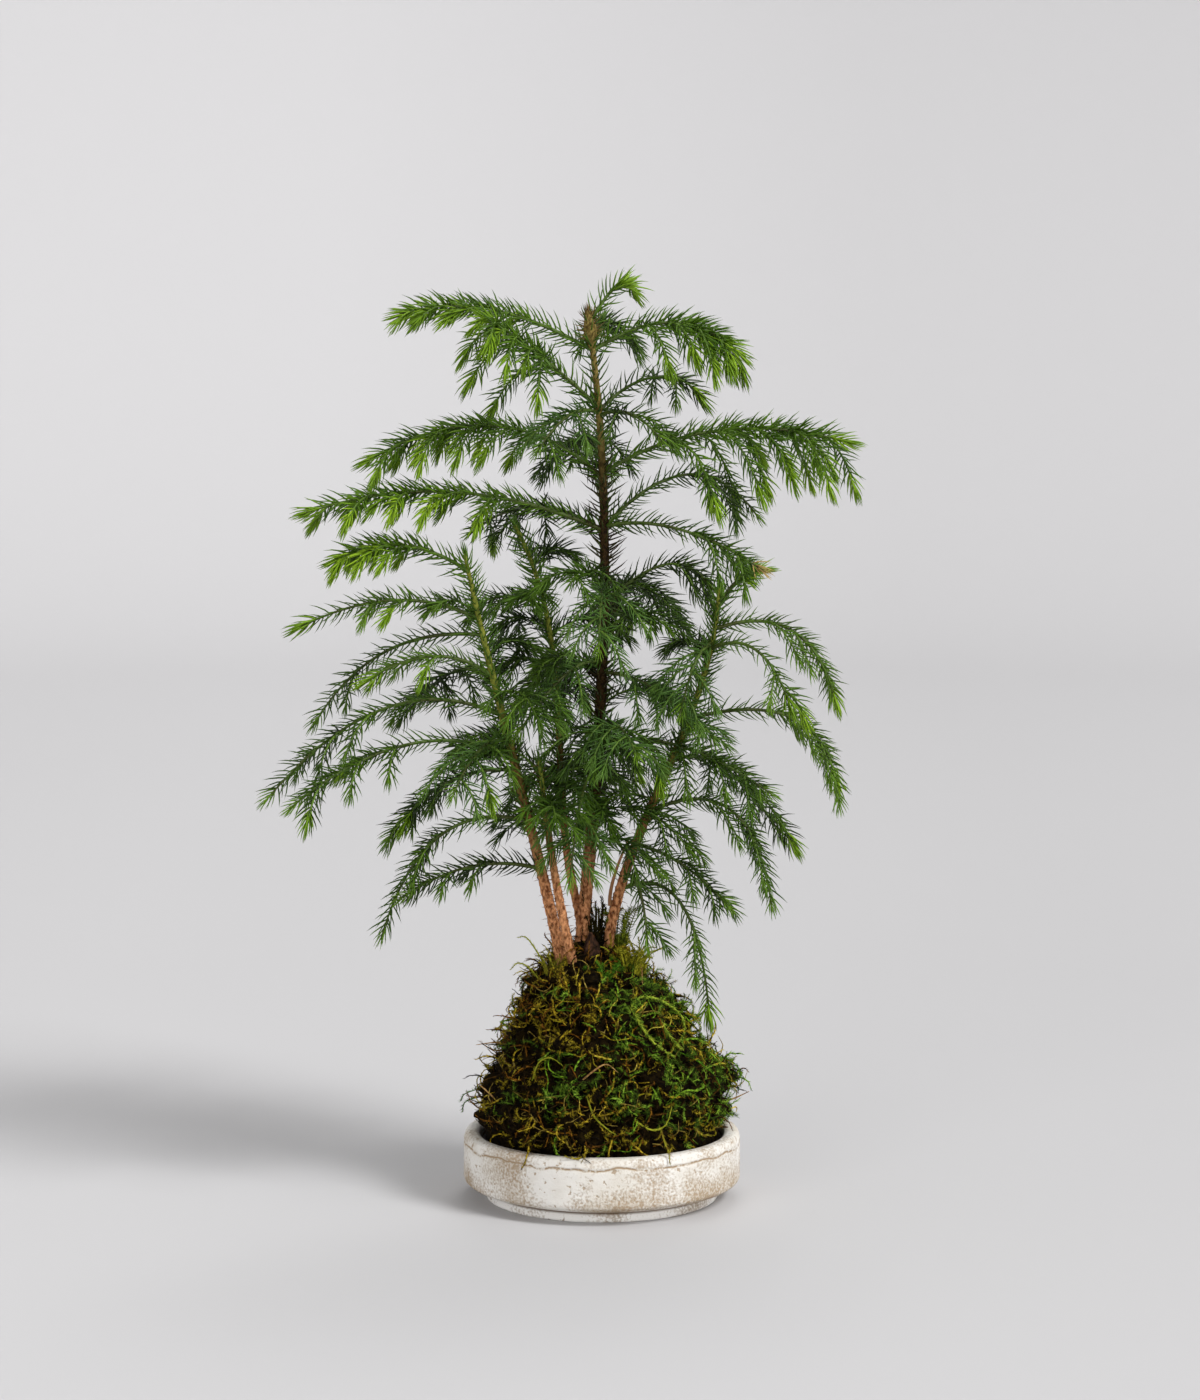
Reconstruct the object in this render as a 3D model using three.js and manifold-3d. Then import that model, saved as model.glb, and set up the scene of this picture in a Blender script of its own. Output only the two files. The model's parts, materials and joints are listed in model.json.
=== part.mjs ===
// Several young Norfolk island pines growing out of one moss-wrapped root ball in a round saucer.
// Millimetres: +X right, +Y away from the viewer, +Z up. The origin is the middle of the saucer's underside.
import * as THREE from 'three';
import { mergeVertices } from 'three/addons/utils/BufferGeometryUtils.js';
import Module from 'manifold-3d';

const wasm = await Module();
wasm.setup();

// ---- sizes ----
const clear = 0.36;          // air between any two nodes
const needleLength = 9.5;    // root to tip, on a bough
const stemNeedle = 7.5;      // and on a stem
const needleStep = 7;        // along a twig, from one ring to the next
const needleShare = 0.48;    // of the faces between two rings, how many are drawn out into a needle
const boughRadius = 1.25;    // at the trunk
const limbTip = 1.05;        // where a limb hands over to its mass of needles
const boughTip = 0.45;
const shootRadius = 0.8;     // where a side shoot leaves its bough
const shootTip = 0.4;

const up = new THREE.Vector3(0, 0, 1);
const vec = (x, y, z) => new THREE.Vector3(x, y, z);
const along = (a, b, t) => a.clone().lerp(b, t);
const blend = (a, b, t) => a + (b - a) * t;

// Random numbers that come out the same every time.
function dice(seed) {
  let state = (seed * 7919 + 101) % 2147483647;
  return () => (state = state * 16807 % 2147483647) / 2147483647;
}

// ---- the stems ----
// Each is a cubic curve from its flat foot in the moss, with its radius at the foot and at the tip.
const stemRows = [
  ['main_trunk', [[-10.4, 3, 104], [-1, 9, 204], [8.3, 5, 303], [-6.4, 2, 403]], 2.9, 1.1],
  ['outer_stem', [[-17, -5, 104], [-30, -5.5, 169], [-48.7, -9.5, 233], [-61, -18, 296]], 2.5, 0.8],
  ['inner_stem', [[-11.5, -11, 104], [-20, -14, 138], [-25, -14, 172], [-28, -13, 203]], 2.1, 0.9],
  ['middle_stem', [[-12.1, 8.2, 137], [-25, 15, 190], [-11, 22, 253], [-39.5, 16, 306]], 1.9, 0.8],
  ['right_stem', [[2, 3, 104], [4.6, 2.5, 167], [51, -4, 217], [52.4, -8, 280]], 2.3, 0.8],
];
const rootFlare = 0.6;       // added to the radius at the foot
const budRadius = 1.8;       // added round the main trunk's growing tip
const budAt = 0.97;          // how far up it is
const needlesFrom = 0.8;     // a stem has needles above this

// Where a stem's rings are: close together under its tip, where it has needles.
const stemStations = [0, 6, 12, 18, 24, 30, 36, 42, 48, 54, 60, 66, 72, 78, 84, 86, 89, 91, 93, 95, 98, 100]
  .map(percent => percent / 100);

const stems = Object.fromEntries(stemRows.map(([name, points, foot, tip]) => {
  const line = new THREE.CubicBezierCurve3(...points.map(p => vec(...p)));
  const bud = name === 'main_trunk' ? budRadius : 0;
  const radius = t => blend(foot, tip, t ** 1.6) + rootFlare * Math.max(0, 1 - t / 0.1) ** 2
    + bud * Math.exp(-(((t - budAt) / 0.02) ** 2));
  return [name, { line, radius }];
}));

// How far along a stem its middle is at a height.
function stationAt(stem, height) {
  let low = 0;
  let high = 1;
  for (let i = 0; i < 40; i++) {
    const middle = (low + high) / 2;
    if (stem.line.getPoint(middle).z < height) low = middle;
    else high = middle;
  }
  return low;
}

// ---- the boughs ----
// Each leaves its stem at a height and a heading (degrees, 0 right, 90 away, 180 left, 270 to the viewer)
// and arches in its own upright plane: out and up to the shoulder that pulls it, then to its tip.
// shoots is how many side shoots it has, reach their length, droop how far they hang for their length.
const boughs = [
  ['tier3_left', 'main_trunk', 328, 183, [46, 44], [107, 7], { shoots: 8, reach: 33, droop: 0.6 }],
  ['tier3_right', 'main_trunk', 330, -3, [48, 32], [112, 14], { shoots: 8, reach: 50, droop: 0.8 }],
  ['tier4_left', 'main_trunk', 304, 191, [69, 32], [136, 10], { shoots: 9, reach: 32, droop: 0.5 }],
  ['outer_left4', 'outer_stem', 222, 187, [53, 27], [107, -37], { shoots: 8, reach: 36, droop: 0.4 }],
  ['right_t5', 'right_stem', 177, -4, [47, 24], [56, -44], { shoots: 7, reach: 34, droop: 0.5 }],
  ['tier1_left', 'main_trunk', 385, 170, [50, 29], [90, 15], { shoots: 8, reach: 30, droop: 0.35 }],
  ['tier1_right', 'main_trunk', 385, -8, [40, 27], [68, -3], { shoots: 8, reach: 32, droop: 0.75 }],
  ['leader', 'main_trunk', 397, 15, [15, 27], [22, 12], { shoots: 2, reach: 12, droop: 0.2 }],
  ['tier1_back', 'main_trunk', 386, 84, [36, 22], [66, 2], { shoots: 7, reach: 30, droop: 0.6 }],
  ['tier2_left', 'main_trunk', 360, 205, [31, 27], [57, 42], { shoots: 6, reach: 46, droop: 0.8 }],
  ['tier2_front', 'main_trunk', 357, 236, [24, 8], [50, -16], { shoots: 6, reach: 26, droop: 0.5 }],
  ['tier2_right', 'main_trunk', 356, 312, [22, 8], [42, -10], { shoots: 4, reach: 24, droop: 0.5 }],
  ['tier2_back', 'main_trunk', 358, 40, [28, 22], [54, 10], { shoots: 6, reach: 28, droop: 0.6 }],
  ['tier3_back', 'main_trunk', 331, 100, [42, 26], [86, -4], { shoots: 7, reach: 34, droop: 0.6 }],
  ['tier4_right', 'main_trunk', 306, 25, [46, 44], [78, 1], { shoots: 7, reach: 34, droop: 0.7 }],
  ['tier4_front', 'main_trunk', 306, -25, [34, 9], [78, -17], { shoots: 7, reach: 30, droop: 0.6 }],
  ['tier4_back', 'main_trunk', 303, 136, [44, 22], [88, -6], { shoots: 7, reach: 32, droop: 0.6 }],
  ['tier5_right', 'main_trunk', 270, 6, [33, 34], [49, 7], { shoots: 6, reach: 28, droop: 0.7 }],
  ['tier5_front', 'main_trunk', 274, 268, [40, 17], [74, -17], { shoots: 6, reach: 28, droop: 0.6 }],
  ['tier5_back', 'main_trunk', 268, 70, [40, 22], [80, -10], { shoots: 7, reach: 34, droop: 0.6 }],
  ['tier6_left', 'main_trunk', 244, 222, [18, 8], [52, -29], { shoots: 6, reach: 28, droop: 0.5 }],
  ['tier6_right', 'main_trunk', 240, -34, [30, 1], [49, -23], { shoots: 6, reach: 28, droop: 0.5 }],
  ['tier6_back', 'main_trunk', 236, 112, [38, 18], [78, -22], { shoots: 7, reach: 34, droop: 0.6 }],
  ['tier7_right', 'main_trunk', 207, -21, [37, 12], [84, -19], { shoots: 7, reach: 32, droop: 0.6 }],
  ['tier7_front', 'main_trunk', 214, 284, [38, 14], [70, -4], { shoots: 6, reach: 26, droop: 0.6 }],
  ['tier8_front', 'main_trunk', 196, 258, [36, 4], [56, -44], { shoots: 6, reach: 26, droop: 0.4 }],
  ['tier7_back', 'main_trunk', 204, 88, [36, 16], [72, -26], { shoots: 7, reach: 32, droop: 0.6 }],
  ['outer_left1', 'outer_stem', 288, 178, [31, 21], [61, 4], { shoots: 6, reach: 26, droop: 0.5 }],
  ['outer_left2', 'outer_stem', 266, 188, [36, 20], [82, -3], { shoots: 7, reach: 28, droop: 0.4 }],
  ['outer_low2', 'outer_stem', 259, 166, [52, 4], [80, -44], { shoots: 7, reach: 32, droop: 0.4 }],
  ['outer_left3', 'outer_stem', 240, 198, [26, 21], [61, -1], { shoots: 6, reach: 28, droop: 0.5 }],
  ['outer_back', 'outer_stem', 236, 128, [26, 16], [58, -14], { shoots: 6, reach: 30, droop: 0.6 }],
  ['outer_left5', 'outer_stem', 204, 203, [50, 24], [106, -18], { shoots: 8, reach: 34, droop: 0.4 }],
  ['outer_low5', 'outer_stem', 197, 168, [34, 4], [60, -33], { shoots: 6, reach: 30, droop: 0.4 }],
  ['outer_left6', 'outer_stem', 174, 184, [48, 13], [67, -53], { shoots: 7, reach: 30, droop: 0.4 }],
  ['outer_left7', 'outer_stem', 152, 192, [33, 10], [65, -12], { shoots: 6, reach: 24, droop: 0.4 }],
  ['outer_front', 'outer_stem', 210, 246, [30, 10], [60, -18], { shoots: 6, reach: 30, droop: 0.5 }],
  ['middle_left', 'middle_stem', 266, 172, [14, 13], [34, 2], { shoots: 4, reach: 20, droop: 0.5 }],
  ['right_t7_front', 'right_stem', 146, 294, [20, 12], [27, -27], { shoots: 4, reach: 20, droop: 0.5 }],
  ['right_t1', 'right_stem', 271, 10, [9, 17], [22, 16], { shoots: 2, reach: 16, droop: 0.3 }],
  ['right_t2', 'right_stem', 261, -5, [43, 16], [55, -35], { shoots: 7, reach: 28, droop: 0.5 }],
  ['right_t2_front', 'right_stem', 252, -36, [29, 14], [44, -26], { shoots: 6, reach: 26, droop: 0.5 }],
  ['right_t3', 'right_stem', 220, -2, [61, 17], [67, -33], { shoots: 7, reach: 28, droop: 0.5 }],
  ['right_t2_left', 'right_stem', 254, 244, [18, 2], [34, -29], { shoots: 6, reach: 24, droop: 0.5 }],
  ['right_t4', 'right_stem', 200, 42, [32, 10], [72, -44], { shoots: 7, reach: 30, droop: 0.5 }],
  ['right_t6', 'right_stem', 162, -22, [24, -3], [46, -27], { shoots: 6, reach: 24, droop: 0.4 }],
  ['right_t7', 'right_stem', 141, -14, [36, 19], [42, -59], { shoots: 7, reach: 28, droop: 0.4 }],
].map(([name, stem, height, degrees, shoulder, tip, rule], i) => (
  { name, stem, height, heading: THREE.MathUtils.degToRad(degrees), shoulder, tip, seed: i + 1, ...rule }));

// The boughs whose bare part, from the stem to this far along them, is a node of its own.
const limbs = { tier3_left: 0.26, tier3_right: 0.24, tier4_left: 0.24, outer_left4: 0.22, right_t5: 0.24 };

// A bough's middle line, from its stem's.
function boughLine({ stem, height, heading, shoulder, tip }) {
  const foot = stems[stem].line.getPoint(stationAt(stems[stem], height));
  const ahead = vec(Math.cos(heading), Math.sin(heading), 0);
  const reach = ([out, rise]) => foot.clone().addScaledVector(ahead, out).addScaledVector(up, rise);
  return new THREE.QuadraticBezierCurve3(foot, reach(shoulder), reach(tip));
}

for (const bough of boughs) bough.line = boughLine(bough);

// The side shoots of a bough: they leave it left and right in turn, lean forward, and sag to their tips.
const firstShoot = 0.24;     // how far along the bough they start
const shootSpread = 0.66;    // and the part of it that they share
const leastLean = 44;        // degrees between a shoot and its bough
const moreLean = 16;

function shootLines({ line, seed, heading, shoots, reach, droop }) {
  const roll = dice(seed);
  const found = [];
  for (let i = 0; i < shoots; i++) {
    const t = firstShoot + shootSpread * (i + 0.35 + 0.3 * roll()) / shoots;
    const length = reach * (1.12 - 0.62 * t) * (0.85 + 0.3 * roll());
    const lean = THREE.MathUtils.degToRad(leastLean + moreLean * roll());
    const root = line.getPoint(t);
    const ahead = line.getTangent(t);
    const aside = vec(-Math.sin(heading), Math.cos(heading), 0).multiplyScalar(i % 2 ? 1 : -1);
    const way = ahead.multiplyScalar(Math.cos(lean)).addScaledVector(aside, Math.sin(lean));
    const pull = root.clone().addScaledVector(way, 0.55 * length).addScaledVector(up, 0.08 * length);
    const tip = root.clone().addScaledVector(way, 0.95 * length).addScaledVector(up, -droop * length);
    found.push({ line: new THREE.QuadraticBezierCurve3(root, pull, tip), t, aside: i % 2 });
  }
  return found;
}

// ---- which space is taken ----
// Every twig and needle is kept as tapered rods with their owner's name, so that no two owners touch.
const taken = [];

// The air between two tapered rods.
function gapBetween(p, q) {
  const d1 = p.b.clone().sub(p.a);
  const d2 = q.b.clone().sub(q.a);
  const r = p.a.clone().sub(q.a);
  const a = d1.dot(d1) || 1;
  const e = d2.dot(d2) || 1;
  const b = d1.dot(d2);
  const c = d1.dot(r);
  const f = d2.dot(r);
  const whole = a * e - b * b;
  const within = x => Math.min(1, Math.max(0, x));
  let s = whole > 1e-9 ? within((b * f - c * e) / whole) : 0;
  const t = within((b * s + f) / e);
  s = within((b * t - c) / a);
  const apart = along(p.a, p.b, s).distanceTo(along(q.a, q.b, t));
  return apart - blend(p.ra, p.rb, s) - blend(q.ra, q.rb, t);
}

// Whether two rods are too far apart for the full sum to matter.
function farApart(p, q) {
  const reach = p.half + q.half + 5;
  return p.middle.distanceToSquared(q.middle) > reach * reach;
}

// Twigs of one node may come closer than two nodes, but don't cross.
const ownClear = 0.05;
const pointRadius = 0.05;    // of a rod's sharp end

function isClear(rod) {
  return taken.every(other => other.twig === rod.twig || farApart(rod, other)
    || gapBetween(rod, other) > (other.owner === rod.owner ? ownClear : clear));
}

function isClearOfOthers(rod) {
  return taken.every(other => other.owner === rod.owner || gapBetween(rod, other) > clear);
}

function rodOf(twig, a, b, ra, rb) {
  return { twig, owner: twig.owner, a, b, ra, rb, middle: along(a, b, 0.5), half: a.distanceTo(b) / 2 };
}

// The rods of a twig, from one of its points on.
function rodsOf(twig, from = 0) {
  return twig.points.slice(from, -1).map((point, n) => {
    const i = n + from;
    const ends = twig.pointed && i + 2 === twig.points.length;
    return rodOf(twig, point, twig.points[i + 1], twig.radii[i], ends ? pointRadius : twig.radii[i + 1]);
  });
}

// ---- the moss-wrapped root ball ----
// Height, radius and how far the ring is off the middle.
const mossRings = [
  [4.9, 45, 0], [8, 50, 0], [18, 52.4, 0], [31, 54.4, 0], [37, 57, 0.6], [47, 57.4, 1], [58, 54, 0.8],
  [68, 50, 0], [78, 45, -1.8], [88, 40.4, -3.6], [98, 33, -6], [105, 25.5, -7], [111, 18, -7],
  [115.5, 10, -6.5],
];
const mossTop = 118;
const mossSides = 34;
const rimHeight = 34;        // the ball is smooth below this, in the saucer
const tuftShare = 0.1;       // of the faces above it, how many are drawn out into a tuft

// The ball's radius at a height, before its lumps.
function mossRadius(z) {
  if (z > mossTop) return 0;
  const i = mossRings.findIndex(ring => ring[0] > z);
  if (i === 0) return 0;
  const [lower, higher] = i < 0 ? mossRings.slice(-2) : [mossRings[i - 1], mossRings[i]];
  return blend(lower[1], higher[1], (z - lower[0]) / (higher[0] - lower[0]));
}

const inMoss = (point, margin) => Math.hypot(point.x + 2, point.y) < mossRadius(point.z) + margin;

// ---- closed meshes ----
const solidFrom = (points, faces) => new wasm.Manifold(new wasm.Mesh({
  numProp: 3,
  vertProperties: new Float32Array(points.flatMap(p => [p.x, p.y, p.z])),
  triVerts: new Uint32Array(faces.flat()),
}));

// Directions across a line at each of its points, carried along without a twist.
function framesAlong(points) {
  const frames = [];
  points.forEach((point, i) => {
    const behind = points[Math.max(i - 1, 0)];
    const ahead = points[Math.min(i + 1, points.length - 1)].clone().sub(behind).normalize();
    const last = i ? frames[i - 1].lift : Math.abs(ahead.z) > 0.9 ? vec(0, 1, 0) : up;
    const lift = last.clone().addScaledVector(ahead, -last.dot(ahead)).normalize();
    frames.push({ ahead, lift, side: lift.clone().cross(ahead) });
  });
  return frames;
}

// The corners of a ring round a point, the first of them on its upper side.
function ringCorners(point, { lift, side }, radius, sides) {
  return Array.from({ length: sides }, (_, k) => {
    const turn = (k / sides + 0.25) * 2 * Math.PI;
    const out = lift.clone().multiplyScalar(Math.sin(turn)).addScaledVector(side, Math.cos(turn));
    return point.clone().addScaledVector(out, radius);
  });
}

// Grows a twig onto a body of corners and faces: a tapered tube of flat faces. Some of them are drawn out
// into needles, and side shoots grow out of others. It starts from a face of its parent or a ring of its own.
function growTwig(body, twig, root = null) {
  const { points, radii, sides, pointed, shoots = [] } = twig;
  const frames = framesAlong(points);
  const addRing = i => ringCorners(points[i], frames[i], radii[i], sides).map(c => body.corners.push(c) - 1);
  const close = (ring, point, turned) => {
    const tip = body.corners.push(point.clone()) - 1;
    ring.forEach((corner, k) => {
      const next = ring[(k + 1) % sides];
      body.faces.push(turned ? [next, corner, tip] : [corner, next, tip]);
    });
  };
  let ring = root;
  if (!root) {
    ring = addRing(0);
    close(ring, points[0], true);
  }
  const last = points.length - (pointed ? 2 : 1);
  for (let i = 1; i <= last; i++) {
    const next = addRing(i);
    if (root && i === 1) ring = lineUp(ring, next, body.corners);
    const here = shoots.filter(shoot => shoot.band === i - 1);
    const shootOn = new Map(here.map(shoot => [bestSide(shoot, ring, next, body.corners), shoot]));
    ring.forEach((corner, k) => {
      const j = (k + 1) % sides;
      for (const half of [[corner, ring[j], next[j]], [corner, next[j], next[k]]]) {
        const mayBear = twig.roll() < twig.share[i - 1] && !(root && i === 1) && !shootOn.has(k);
        const tip = mayBear && needleTip(half.map(c => body.corners[c]), frames[i - 1], twig);
        if (shootOn.has(k)) {
          growTwig(body, shootOn.get(k), half);
          shootOn.delete(k);
        } else if (tip) {
          const end = body.corners.push(tip) - 1;
          half.forEach((c, n) => body.faces.push([c, half[(n + 1) % 3], end]));
        } else {
          body.faces.push(half);
        }
      }
    });
    ring = next;
  }
  close(ring, points[points.length - 1], false);
}

// The same ring, started from the corner that faces the next ring's first.
function lineUp(ring, next, corners) {
  const turned = ring.map((_, s) => ring.map((_, k) => ring[(k + s) % ring.length]));
  const twist = order => order.reduce((sum, c, k) => sum + corners[c].distanceToSquared(corners[next[k]]), 0);
  return turned.reduce((best, order) => (twist(order) < twist(best) ? order : best));
}

// Which side of a band looks the way that a shoot leaves.
function bestSide(shoot, ring, next, corners) {
  const way = shoot.points[1].clone().sub(shoot.points[0]);
  const facing = ring.map((c, k) => {
    const across = corners[ring[(k + 1) % ring.length]].clone().sub(corners[c]);
    return across.cross(corners[next[k]].clone().sub(corners[c])).normalize().dot(way);
  });
  return facing.indexOf(Math.max(...facing));
}

function twigSolid(twig) {
  const body = { corners: [], faces: [] };
  growTwig(body, twig);
  return solidFrom(body.corners, body.faces);
}

// Which way a needle leans, in parts of its length.
const needleOut = 0.72;
const needleAhead = 0.62;
const needleUp = 0.16;

// How thick a needle is taken to be at its root: its middle, and the edges from the face's corners.
const needleCore = 0.9;
const needleEdge = 0.3;

// Where a needle's tip goes over one face, or null if the needle would come too near something.
function needleTip(face, frame, twig) {
  const root = face[0].clone().add(face[1]).add(face[2]).divideScalar(3);
  const out = face[1].clone().sub(face[0]).cross(face[2].clone().sub(face[0])).normalize();
  const length = twig.needle * (0.85 + 0.3 * twig.roll());
  const lean = out.multiplyScalar(needleOut).addScaledVector(frame.ahead, needleAhead);
  const tip = root.clone().addScaledVector(lean.addScaledVector(up, needleUp), length);
  const edges = face.map(corner => rodOf(twig, corner, tip, needleEdge, pointRadius));
  const rods = [rodOf(twig, root, tip, needleCore, pointRadius), ...edges];
  if (inMoss(tip, 1.5) || inMoss(along(root, tip, 0.5), 1.5) || !rods.every(isClear)) return null;
  taken.push(...rods);
  return tip;
}

// ---- lay out every stem, limb, bough and shoot before any needle ----
const twigs = [];            // those that start a node
const take = twig => taken.push(...rodsOf(twig));

function twigAlong(owner, line, from, to, thick, thin, more) {
  const count = Math.max(2, Math.round(line.getLength() * (to - from) / needleStep));
  const parts = Array.from({ length: count + 1 }, (_, i) => i / count);
  return {
    owner,
    points: parts.map(part => line.getPoint(blend(from, to, part))),
    radii: parts.map(part => blend(thick, thin, part)),
    start: from,
    sides: 3,
    share: parts.map(() => needleShare),
    needle: needleLength,
    pointed: true,
    shoots: [],
    ...more,
  };
}

Object.entries(stems).forEach(([owner, stem], i) => {
  stem.twig = {
    owner,
    points: stemStations.map(t => stem.line.getPoint(t)),
    radii: stemStations.map(t => stem.radius(t)),
    sides: owner === 'main_trunk' ? 11 : 9,
    share: stemStations.map(t => (t > budAt ? 0.6 : t > needlesFrom ? 0.28 : 0)),
    needle: stemNeedle,
    pointed: true,
    shoots: [],
    roll: dice(900 + i),
  };
  take(stem.twig);
  twigs.push(stem.twig);
});

// The thin bare twig that rises beside the right stem's foot, fused to it.
const bareLine = new THREE.QuadraticBezierCurve3(vec(3.7, 1.3, 134), vec(2.8, -1, 144), vec(12, -5, 165));
const bareTwig = twigAlong('right_stem', bareLine, 0, 1, 0.9, 0.6, { roll: dice(31) });
bareTwig.share.fill(0);
bareTwig.band = Math.floor(stationAt(stems.right_stem, 134) / stemStations[1]);
stems.right_stem.twig.shoots.push(bareTwig);
take(bareTwig);

// How far along a line a three-sided twig comes clear of the stem that carries it.
function startClearOf(stem, line) {
  const rods = rodsOf(stem.twig);
  const step = needleStep / line.getLength();
  for (let t = 0; t < 0.5; t += 0.0005) {
    const frame = framesAlong([line.getPoint(t), line.getPoint(t + step)])[0];
    const corners = ringCorners(line.getPoint(t), frame, boughRadius, 3);
    const edges = corners.map((corner, k) => rodOf(stem.twig, corner, corners[(k + 1) % 3], 0, 0));
    if (edges.every(edge => rods.every(rod => gapBetween(edge, rod) > clear - 0.03))) return t;
  }
  throw new Error('a bough starts inside its stem');
}

const limbNeedles = 0.14;    // a limb is nearly bare
const limbGap = 0.48;        // between a limb's end and the start of its mass

for (const bough of boughs) {
  const { name, line, seed } = bough;
  const limbEnd = limbs[name];
  let start = startClearOf(stems[bough.stem], line);
  if (limbEnd) {
    const limb = twigAlong(name + '_limb', line, start, limbEnd, boughRadius, limbTip,
      { sides: 6, pointed: false, roll: dice(500 + seed) });
    limb.share.fill(limbNeedles);
    take(limb);
    twigs.push(limb);
    const step = 0.001;
    start = limbEnd + step * limbGap / line.getPoint(limbEnd).distanceTo(line.getPoint(limbEnd + step));
  }
  const thick = limbEnd ? limbTip : boughRadius;
  bough.twig = twigAlong(name, line, start, 1, thick, boughTip, { roll: dice(200 + seed) });
  if (!rodsOf(bough.twig, 1).every(isClearOfOthers)) throw new Error(`${name} comes too near another node`);
  take(bough.twig);
  twigs.push(bough.twig);
}

for (const bough of boughs) {
  const { name, seed, twig } = bough;
  for (const shoot of shootLines(bough)) {
    const band = Math.floor((shoot.t - twig.start) / (1 - twig.start) * (twig.points.length - 1));
    const sameSide = twig.shoots.some(other => other.band === band && other.aside === shoot.aside);
    const side = twigAlong(name, shoot.line, 0, 1, shootRadius, shootTip,
      { band, aside: shoot.aside, roll: dice(3000 + 40 * seed + band) });
    const rods = rodsOf(side);
    const fits = isClearOfOthers(rods[0]) && rods.slice(1).every(rod => isClear(rod) && !inMoss(rod.b, 3));
    if (band < 1 || sameSide || !fits) continue;
    take(side);
    twig.shoots.push(side);
  }
}

// ---- grow the needles, node by node ----
const solids = {};
for (const twig of twigs) solids[twig.owner] = twigSolid(twig);

// ---- the saucer ----
// Radius and height, from the middle of the underside round the foot, the wall, the rim and the bowl.
const saucerProfile = [
  [0, 0], [51.6, 0], [52.8, 1], [52.8, 3], [54, 4.2], [60.6, 5.4], [62.4, 7.6], [63, 12], [63, 27.5],
  [62.2, 30], [60.4, 31], [57.4, 31], [55.9, 30.1], [55.4, 28], [53.4, 12], [51, 5.6], [46, 4.4], [0, 4.4],
];
const saucerSides = 42;

function saucerSolid() {
  const lathe = new THREE.LatheGeometry(saucerProfile.map(([r, z]) => new THREE.Vector2(r, z)), saucerSides);
  lathe.deleteAttribute('normal');
  lathe.deleteAttribute('uv');
  const shape = mergeVertices(lathe.rotateX(Math.PI / 2), 1e-3);
  const place = shape.getAttribute('position');
  const points = Array.from({ length: place.count }, (_, i) => vec().fromBufferAttribute(place, i));
  const faces = [];
  for (let i = 0; i < shape.index.count; i += 3) faces.push([0, 1, 2].map(k => shape.index.getX(i + k)));
  return solidFrom(points, faces.filter(face => new Set(face).size === 3));
}

// ---- the root ball's lumps, its stray tufts and the pockets that the stems stand in ----
function mossSolid() {
  const roll = dice(77);
  const points = [];
  const faces = [];
  mossRings.forEach(([z, r, off], i) => {
    for (let k = 0; k < mossSides; k++) {
      const turn = (k + (i % 2) / 2) / mossSides * 2 * Math.PI;
      const rough = z < rimHeight ? 0 : 1;
      const lumps = 1.1 * Math.sin(3 * turn + z / 9) + 0.8 * Math.sin(8 * turn - z / 5);
      const out = r + rough * (lumps + 1.2 * (roll() - 0.5));
      points.push(vec(off + out * Math.cos(turn), out * Math.sin(turn), z + rough * (roll() - 0.5)));
    }
  });
  const addTuft = face => {
    const root = points[face[0]].clone().add(points[face[1]]).add(points[face[2]]).divideScalar(3);
    const out = vec(root.x, root.y, 6).normalize();
    const curl = vec(out.y, -out.x, 0.6);
    root.addScaledVector(out, 3 + 4 * roll()).addScaledVector(curl, 3 * (roll() - 0.5));
    const tip = points.push(root) - 1;
    face.forEach((corner, j) => faces.push([corner, face[(j + 1) % 3], tip]));
  };
  const at = (i, k) => i * mossSides + (k + mossSides) % mossSides;
  const last = mossRings.length - 1;
  for (let i = 0; i < last; i++) {
    for (let k = 0; k < mossSides; k++) {
      const [a, b, c, d] = [at(i, k), at(i, k + 1), at(i + 1, k - 1), at(i + 1, k)];
      const band = i % 2 ? [[a, b, at(i + 1, k + 1)], [a, at(i + 1, k + 1), d]] : [[a, b, d], [a, d, c]];
      for (const face of band) {
        if (mossRings[i][0] > rimHeight && i < last - 3 && roll() < tuftShare) addTuft(face);
        else faces.push(face);
      }
    }
  }
  const under = points.push(vec(0, 0, mossRings[0][0])) - 1;
  const top = points.push(vec(mossRings[last][2], 0, mossTop)) - 1;
  for (let k = 0; k < mossSides; k++) {
    faces.push([at(0, k + 1), at(0, k), under]);
    faces.push([at(last, k), at(last, k + 1), top]);
  }
  return solidFrom(points, faces);
}

// The hole for a stem's foot: the foot itself, grown by the clearance.
const footRings = 7;         // of a stem, that are in the moss or just over it

function pocketOf(twig) {
  const points = twig.points.slice(0, footRings).map(point => point.clone());
  points[0].z -= clear;
  const radii = twig.radii.slice(0, footRings).map(radius => radius + clear + 0.1);
  return twigSolid({ ...twig, points, radii, share: points.map(() => 0), pointed: false, shoots: [] });
}

// The dead stub of an old stem, between the trunks.
const stub = {
  owner: 'old_stub',
  points: [vec(-4.6, -6.4, 103), vec(-4.4, -6.4, 112), vec(-4.2, -6.2, 118), vec(-3.6, -6, 122)],
  radii: [4.2, 4, 3.2, 1.4],
  sides: 8,
  share: [0, 0, 0, 0],
  roll: dice(5),
  pointed: false,
};
solids.old_stub = twigSolid(stub);

const rooted = ['main_trunk', 'outer_stem', 'inner_stem', 'right_stem'].map(name => stems[name].twig);
solids.root_ball = [...rooted, stub].reduce((ball, twig) => ball.subtract(pocketOf(twig)), mossSolid());
solids.saucer = saucerSolid();

// ---- the model ----
const looks = {
  clay: { color: '#e9e5dc', roughness: 0.85 },
  moss: { color: '#4f4a22', roughness: 0.95 },
  bark: { color: '#7a5a3c', roughness: 0.85 },
  deadBark: { color: '#33271c', roughness: 0.9 },
  needles: { color: '#48682f', roughness: 0.6 },
  youngNeedles: { color: '#7c9c3c', roughness: 0.55 },
  bluishNeedles: { color: '#4f7454', roughness: 0.6 },
};

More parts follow.
